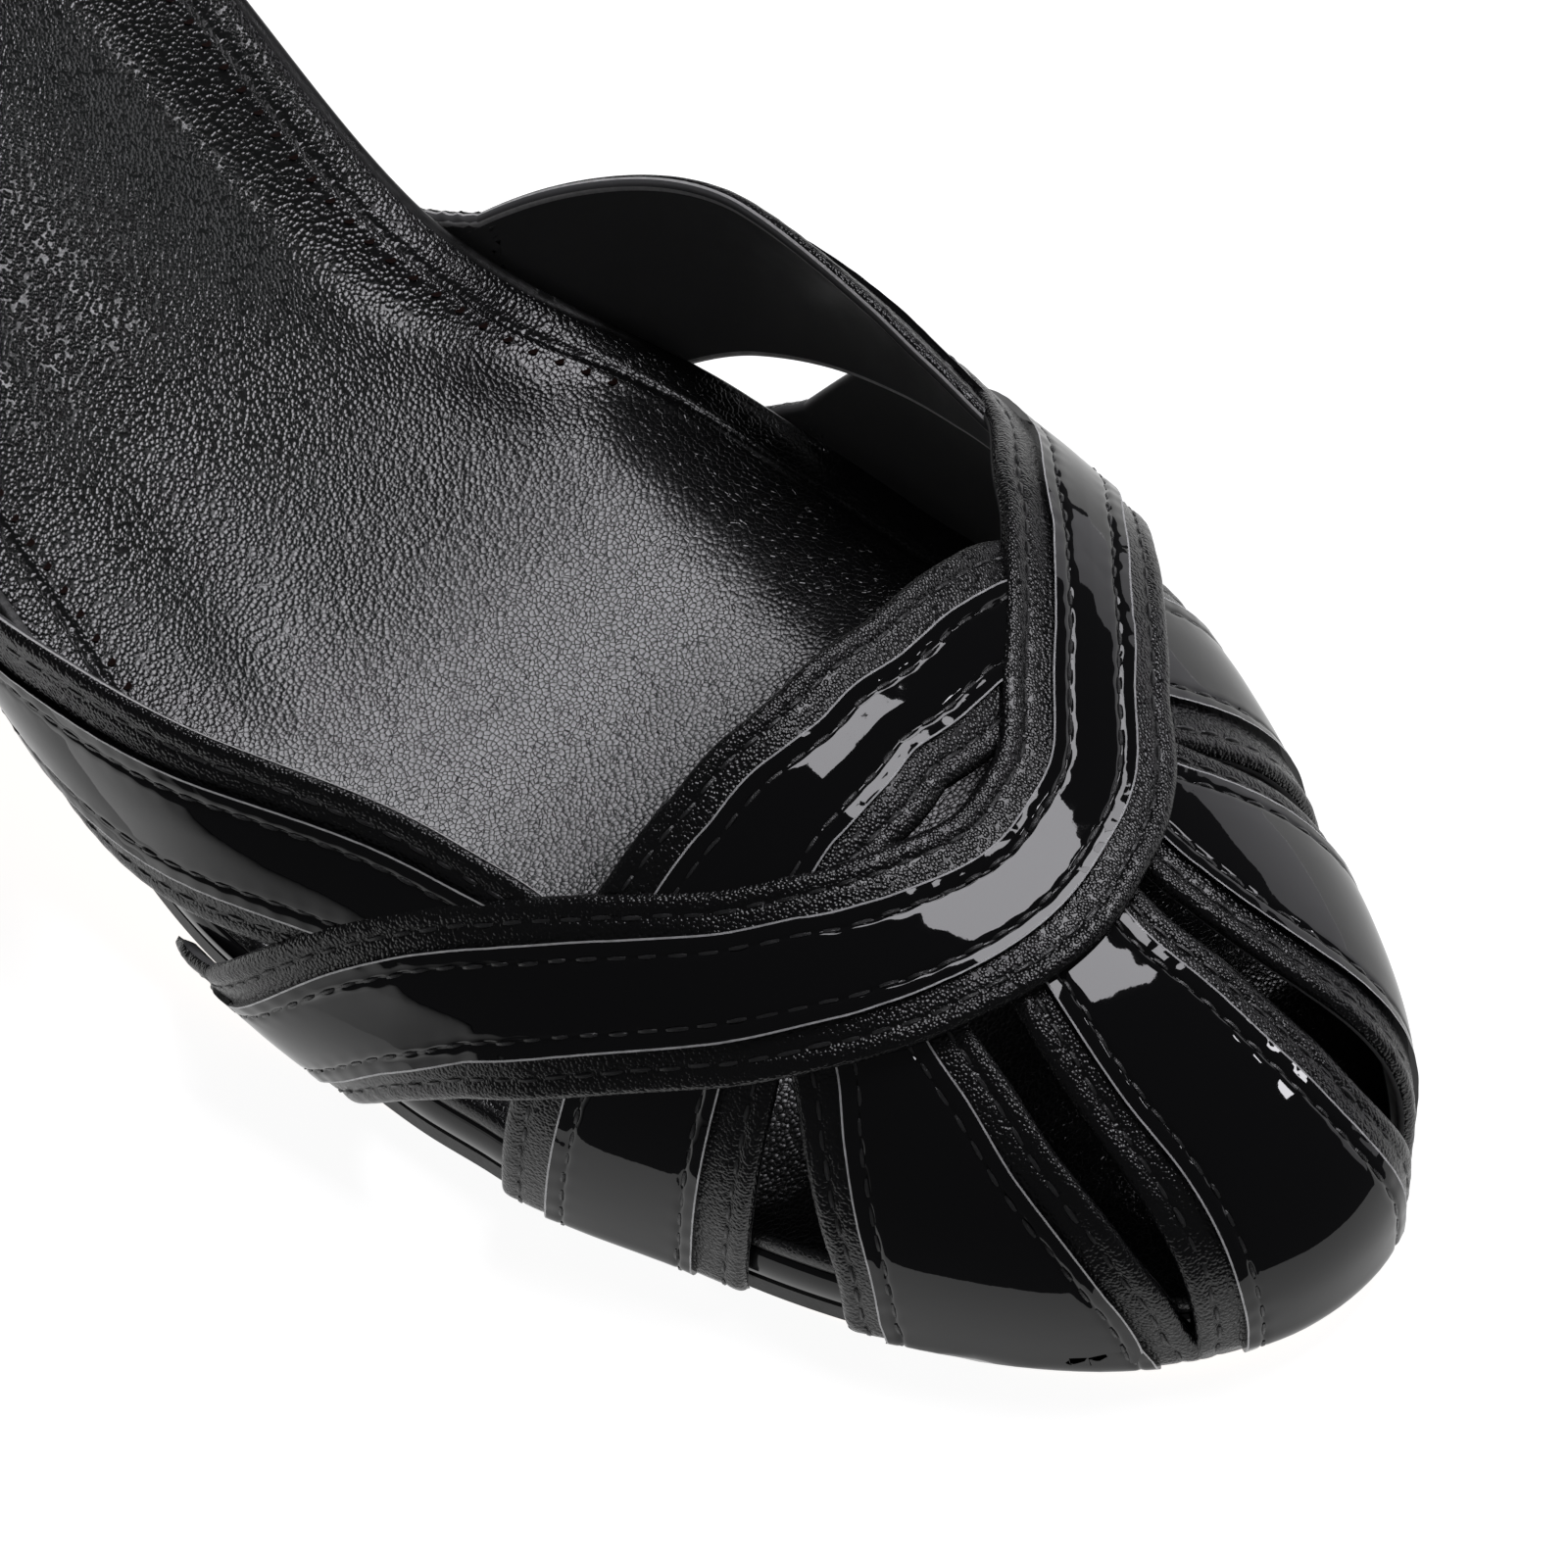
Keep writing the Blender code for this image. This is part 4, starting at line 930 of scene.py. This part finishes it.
def build_counter(finishes, thread):
    """Heel counter with a rolled top line, a seam under it and a back seam."""
    x, y, out = counter_path()
    back = smooth_step((COUNTER_FRONT_X - x)/(COUNTER_FRONT_X - HEEL_SEAT_X + HEEL_SEAT_LENGTH))
    rise = COUNTER_FRONT_HEIGHT + (COUNTER_BACK_HEIGHT - COUNTER_FRONT_HEIGHT)*back
    spread = np.linspace(0, 1, COUNTER_LEVELS)[None, :]**COUNTER_SPREAD
    low_steps = COUNTER_TOP_STEPS[0] + (rise[:, None] - COUNTER_TOP_STEPS[0])*(1 - spread)[:, :-1]
    top_steps = np.broadcast_to(np.array(COUNTER_TOP_STEPS), (len(x), len(COUNTER_TOP_STEPS)))
    below_top = np.concatenate([low_steps, top_steps], axis=1)
    height = rise[:, None] - below_top
    lean = smooth_through(COUNTER_LEAN[:, 0], COUNTER_LEAN[:, 1], height)
    foot = np.stack([x, y], -1)[:, None, :]
    level = section("feather", x)[:, None] + height
    rolled = rolled_edge(below_top, COUNTER_ROLL)
    hole = needle_beat(seam_phase(np.stack([x, y, rise], -1)))[:, None]
    relief = ridge(below_top, COUNTER_BEAD) - ridge(below_top, COUNTER_GROOVE)*beaten(hole, GROOVE_BEAT)
    relief -= ridge(np.linspace(-1, 1, COUNTER_STATIONS)[:, None], BACK_SEAM)

    def wall(offset):
        plan = foot + out[:, None, :]*(offset - lean)[..., None]
        return np.concatenate([plan, level[..., None]], -1)

    outer = wall(COUNTER_WALL*(0.5 + 0.5*rolled) + relief)
    inner = wall(COUNTER_WALL*(0.5 - 0.5*rolled))
    faces, labels = sheet_faces(*height.shape)
    points = np.stack([inner, outer]).reshape(-1, 3)
    piece = add_piece("counter_leather", points, faces, finishes, labels, sharp=80.0)
    declare(piece, "heel_counter")
    seam = low_steps.shape[1] + COUNTER_TOP_STEPS.index(COUNTER_SEAM)
    outwards = np.concatenate([out, np.zeros((len(x), 1))], axis=1)
    add_stitches("stitches_counter", [(outer[:, seam], outwards)], thread)


class Finish:
    """Material under construction: a principled shader and helpers that wire textures to it."""

    def __init__(self, name, colour, roughness):
        self.material = bpy.data.materials.new(name)
        self.material.use_nodes = True
        self.tree = self.material.node_tree
        self.shader = self.tree.nodes["Principled BSDF"]
        self.shader.inputs["Base Color"].default_value = (*colour, 1.0)
        self.shader.inputs["Roughness"].default_value = roughness
        self.material.diffuse_color = (*colour, 1.0)
        self.place = self.node("ShaderNodeTexCoord").outputs["Object"]
        self.last_bump = None

    def node(self, kind):
        return self.tree.nodes.new(kind)

    def link(self, out, into):
        self.tree.links.new(out, into)

    def along(self, axis):
        """Place along one of the shoe's directions, in metres."""
        split = self.node("ShaderNodeSeparateXYZ")
        self.link(self.place, split.inputs["Vector"])
        return split.outputs[axis]

    def stretched(self, stretch):
        mapping = self.node("ShaderNodeMapping")
        mapping.inputs["Scale"].default_value = stretch
        self.link(self.place, mapping.inputs["Vector"])
        return mapping.outputs["Vector"]

    def noise(self, size, detail=3.0, stretch=(1, 1, 1)):
        """Cloudy noise with features of a size in millimetres."""
        noise = self.node("ShaderNodeTexNoise")
        noise.inputs["Scale"].default_value = 1/(size*MM)
        noise.inputs["Detail"].default_value = detail
        self.link(self.stretched(stretch), noise.inputs["Vector"])
        return noise.outputs["Fac"]

    def cells(self, size, feature, stretch=(1, 1, 1)):
        """Cells of a size in millimetres."""
        cells = self.node("ShaderNodeTexVoronoi")
        cells.feature = feature
        cells.inputs["Scale"].default_value = 1/(size*MM)
        self.link(self.stretched(stretch), cells.inputs["Vector"])
        return cells.outputs["Distance"]

    def ramp(self, value, low, high, start=0.0, end=1.0):
        """Value between low and high carried over to start and end."""
        ramp = self.node("ShaderNodeMapRange")
        ramp.inputs["From Min"].default_value = low
        ramp.inputs["From Max"].default_value = high
        ramp.inputs["To Min"].default_value = start
        ramp.inputs["To Max"].default_value = end
        self.link(value, ramp.inputs["Value"])
        return ramp.outputs["Result"]

    def domes(self, size, stretch=(1, 1, 1)):
        """Leather grain: round domes of a size in millimetres with sharp valleys between them."""
        square = self.node("ShaderNodeMath")
        square.operation = "POWER"
        square.inputs[1].default_value = 2.0
        self.link(self.cells(size, "F1", stretch), square.inputs[0])
        return self.ramp(square.outputs["Value"], 0.0, 0.5, 1.0, 0.0)

    def bump(self, height, depth, strength=None):
        """Bump of a depth in millimetres on top of the earlier ones, of a strength that may vary."""
        bump = self.node("ShaderNodeBump")
        bump.inputs["Distance"].default_value = depth*MM
        if strength:
            self.link(strength, bump.inputs["Strength"])
        else:
            bump.inputs["Strength"].default_value = 1.0
        self.link(height, bump.inputs["Height"])
        if self.last_bump:
            self.link(self.last_bump, bump.inputs["Normal"])
        self.last_bump = bump.outputs["Normal"]
        self.link(self.last_bump, self.shader.inputs["Normal"])

    def tint(self, value, dark, light):
        """Base colour between two colours."""
        mix = self.node("ShaderNodeMix")
        mix.data_type = "RGBA"
        mix.inputs["A"].default_value = (*dark, 1.0)
        mix.inputs["B"].default_value = (*light, 1.0)
        self.link(value, mix.inputs["Factor"])
        self.link(mix.outputs["Result"], self.shader.inputs["Base Color"])

    def rough(self, value, low, high):
        self.link(self.ramp(value, *NOISE_SPAN, low, high), self.shader.inputs["Roughness"])

    def set(self, **values):
        for name, value in values.items():
            self.shader.inputs[name.replace("_", " ")].default_value = value

    def lacquer(self, roughness, index):
        """Clear gloss over the colour."""
        self.set(Specular_IOR_Level=0.0, Coat_Weight=1.0, Coat_Roughness=roughness, Coat_IOR=index)
        self.link(self.last_bump, self.shader.inputs["Coat Normal"])


def nappa_finish():
    made = Finish("black_nappa", (0.004, 0.004, 0.0044), 0.2)
    made.rough(made.noise(3.0), 0.15, 0.22)
    made.bump(made.noise(3.5, 2.0), 0.03)
    made.bump(made.domes(0.34), 0.06)
    made.bump(made.noise(0.6, 2.0), 0.012)
    return made.material


def lining_finish():
    made = Finish("satin_lining", (0.1, 0.1, 0.102), 0.5)
    made.rough(made.noise(4.0), 0.42, 0.6)
    made.bump(made.noise(0.3, 2.0), 0.012)
    made.set(Specular_IOR_Level=0.35)
    return made.material


def patent_finish():
    made = Finish("black_patent", (0.003, 0.003, 0.0035), 0.3)
    made.bump(made.noise(3.5, 2.0), 0.012)
    made.bump(made.noise(0.7, 2.0), 0.0015)
    made.lacquer(0.025, 1.52)
    return made.material


def cut_edge_and_highlight_finish():
    # painted highlight: pale grey for the patent's paler cut edge and for the bright line of light along it
    made = Finish("patent_cut_edge_and_highlight", (0.45, 0.45, 0.46), 0.4)
    made.tint(made.noise(0.9, 3.0), (0.2, 0.2, 0.205), (0.65, 0.65, 0.66))
    made.bump(made.noise(0.2, 2.0), 0.03)
    return made.material


def raw_edge_and_highlight_finish():
    # painted highlight: light grey for the raw edge's paler leather and for the light line it shows even
    # where it faces away from the lamps
    made = Finish("raw_edge_and_highlight", (0.6, 0.6, 0.6), 0.5)
    made.tint(made.noise(0.6, 3.0), (0.40, 0.40, 0.40), (0.80, 0.79, 0.78))
    made.bump(made.noise(0.2, 2.0), 0.03)
    return made.material


def insole_finish():
    """Grain of full domes at the waist, trodden flat under the ball."""
    made = Finish("insole_nappa", (0.012, 0.012, 0.013), 0.3)
    worn = made.ramp(made.along("X"), *WORN_SPAN)
    fresh = made.ramp(made.along("X"), *WORN_SPAN, 1.0, 0.25)
    grain = made.domes(INSOLE_GRAIN, INSOLE_GRAIN_STRETCH)
    valleys = made.ramp(made.cells(INSOLE_GRAIN, "DISTANCE_TO_EDGE", INSOLE_GRAIN_STRETCH), 0.0, 0.07)
    made.tint(valleys, (0.003, 0.003, 0.0032), (0.009, 0.009, 0.0095))
    made.bump(made.noise(7.0, 2.0), 0.035)
    made.bump(grain, 0.055, fresh)
    made.bump(valleys, 0.015, worn)
    made.bump(made.noise(0.9, 2.0), 0.012)
    made.rough(made.noise(6.0), 0.14, 0.19)
    made.set(Specular_IOR_Level=0.66)
    return made.material


def thread_finish():
    made = Finish("black_thread", (0.02, 0.02, 0.021), 0.3)
    made.tint(made.noise(0.8, 2.0), (0.006, 0.006, 0.0062), (0.04, 0.04, 0.041))
    made.bump(made.noise(0.14, 1.0), 0.05)
    return made.material


def edge_ink_finish():
    made = Finish("black_edge_ink", (0.006, 0.006, 0.006), 0.3)
    made.rough(made.noise(2.0), 0.25, 0.4)
    made.bump(made.noise(0.5, 3.0), 0.02)
    return made.material


def sole_leather_finish():
    made = Finish("tan_sole_leather", (0.42, 0.25, 0.12), 0.5)
    made.tint(made.noise(9.0, 4.0), (0.34, 0.20, 0.09), (0.50, 0.31, 0.16))
    made.bump(made.noise(0.4, 3.0, (0.4, 1, 1)), 0.02)
    return made.material


def heel_cover_finish():
    made = Finish("black_heel_cover", (0.004, 0.004, 0.0045), 0.3)
    made.bump(made.noise(4.0, 2.0), 0.02)
    made.lacquer(0.04, 1.5)
    return made.material


def rubber_finish():
    made = Finish("black_rubber", (0.014, 0.014, 0.014), 0.7)
    made.bump(made.noise(0.5, 3.0), 0.03)
    return made.material


def hole_shade_finish():
    # painted shade: the needle holes are flat discs, dark with a reddish tone, standing for the shade inside
    # them
    made = Finish("needle_hole_painted_shade", (0.010, 0.003, 0.002), 0.8)
    made.bump(made.noise(0.3, 2.0), 0.02)
    made.set(Specular_IOR_Level=0.1)
    return made.material


def add_camera():
    azimuth = math.radians(CAMERA_AZIMUTH)
    rise = math.radians(CAMERA_ELEVATION)
    back = Vector((math.sin(azimuth)*math.cos(rise), -math.cos(azimuth)*math.cos(rise), math.sin(rise)))
    right = Vector((math.cos(azimuth), math.sin(azimuth), 0.0))
    up = back.cross(right)
    middle = FRAME_PIXELS/2
    aim = right*((middle - ORIGIN_PIXEL[0])/PIXELS_PER_MM) + up*((ORIGIN_PIXEL[1] - middle)/PIXELS_PER_MM)
    place = (aim + back*CAMERA_DISTANCE)*MM
    lens = bpy.data.cameras.new("camera")
    lens.sensor_width = SENSOR
    lens.lens = SENSOR*PIXELS_PER_MM*CAMERA_DISTANCE/FRAME_PIXELS
    lens.clip_start = 0.05
    camera = add_object("camera", lens)
    turn = Matrix((right, up, back)).transposed().to_4x4()
    camera.matrix_world = Matrix.Translation(place) @ turn
    bpy.context.scene.camera = camera


def area_light(name, size, radiance):
    """Flat light of a radiance, seen in reflections but not by the camera."""
    light = bpy.data.lights.new(name, "AREA")
    light.shape = "RECTANGLE"
    light.size = size[0]
    light.size_y = size[1]
    light.energy = radiance*math.pi*size[0]*size[1]
    light.color = LIGHT_TINT
    box = add_object(name, light)
    box.visible_camera = False
    return box


def add_softbox(name, across, along, radiance):
    """Level softbox under the ceiling, between two shares of its height in x and in y."""
    size = ((across[1] - across[0])*CEILING, (along[1] - along[0])*CEILING)
    box = area_light(name, size, radiance)
    box.location = (sum(across)/2*CEILING, sum(along)/2*CEILING, CEILING)


def add_backdrop():
    """White wall behind the shoe."""
    place = Vector(BACKDROP_PLACE)
    wall = area_light("backdrop", BACKDROP_SIZE, BACKDROP_RADIANCE)
    wall.rotation_euler = (place - Vector(BACKDROP_AIM)).to_track_quat("Z", "Y").to_euler()
    wall.location = place


def add_flat(name, corners, z):
    """Flat sheet with the given corners, in millimetres."""
    mesh = bpy.data.meshes.new(name)
    mesh.from_pydata([(x*MM, y*MM, z*MM) for x, y in corners], [], [tuple(range(len(corners)))])
    sheet = add_object(name, mesh)
    return sheet


def glowing_finish(name, colour, glow, spans=None):
    """White finish with a glow of its own, which may grow between two places in x and two in y."""
    made = Finish(name, colour, 0.6)
    made.set(Emission_Color=(1.0, 1.0, 1.0, 1.0), Emission_Strength=glow, Specular_IOR_Level=0.2)
    if spans:
        (x_low, x_high), (y_low, y_high) = spans
        product = made.node("ShaderNodeMath")
        product.operation = "MULTIPLY"
        made.link(made.ramp(made.along("X"), x_low*MM, x_high*MM), product.inputs[0])
        made.link(made.ramp(made.along("Y"), y_low*MM, y_high*MM, 0.0, glow), product.inputs[1])
        made.link(product.outputs["Value"], made.shader.inputs["Emission Strength"])
    made.bump(made.noise(3.0, 2.0), 0.005)
    return made.material


def add_floor():
    """White floor, and what the gloss sees of it: a lit table that ends a little ahead of the shoe."""
    corners = [(x*FLOOR_REACH, y*FLOOR_REACH) for x, y in ((-1, -1), (1, -1), (1, 1), (-1, 1))]
    floor = add_flat("floor", corners, 0.0)
    floor.data.materials.append(glowing_finish("white_floor", (0.4, 0.4, 0.4), FLOOR_GLOW))
    floor.visible_glossy = False
    for name, corners, glow, spans in TABLE_ZONES:
        zone = add_flat(name, corners, TABLE_Z)
        zone.data.materials.append(glowing_finish(name, (0.0, 0.0, 0.0), glow, spans))
        zone.visible_camera = False
        zone.visible_diffuse = False
        zone.visible_shadow = False


def light_scene():
    scene = bpy.context.scene
    scene.view_settings.view_transform = "Standard"
    world = bpy.data.worlds.new("studio")
    world.use_nodes = True
    world.node_tree.nodes["Background"].inputs["Color"].default_value = (*WORLD_COLOUR, 1.0)
    scene.world = world
    for name, across, along, radiance in SOFTBOXES:
        add_softbox(name, across, along, radiance)
    add_backdrop()


def build_looks():
    nappa = nappa_finish()
    lining = lining_finish()
    patent = patent_finish()
    raw_edge_and_highlight = raw_edge_and_highlight_finish()
    cut_edge_and_highlight = cut_edge_and_highlight_finish()
    thread = thread_finish()
    ink = edge_ink_finish()
    turned = [nappa, lining, nappa, lining]
    open_edged = [nappa, lining, raw_edge_and_highlight, raw_edge_and_highlight]
    seams = {}
    for strap in STRAPS:
        seams[strap] = build_band(strap, open_edged if strap.startswith("side") else turned)
    for name, (strap, run) in PATENT_STRIPS.items():
        seams[strap] += build_strip(name + "_strip", strap, run, [patent, cut_edge_and_highlight])
    for strap, rows in seams.items():
        add_stitches("stitches_" + strap, rows, thread)
    build_rim(patent)
    build_outsole([ink, sole_leather_finish()])
    build_insole([insole_finish(), ink, hole_shade_finish()])
    build_heel([heel_cover_finish(), rubber_finish()])
    build_counter([nappa, lining, nappa], thread)


build_looks()
add_floor()
light_scene()
add_camera()
bpy.context.view_layer.update()
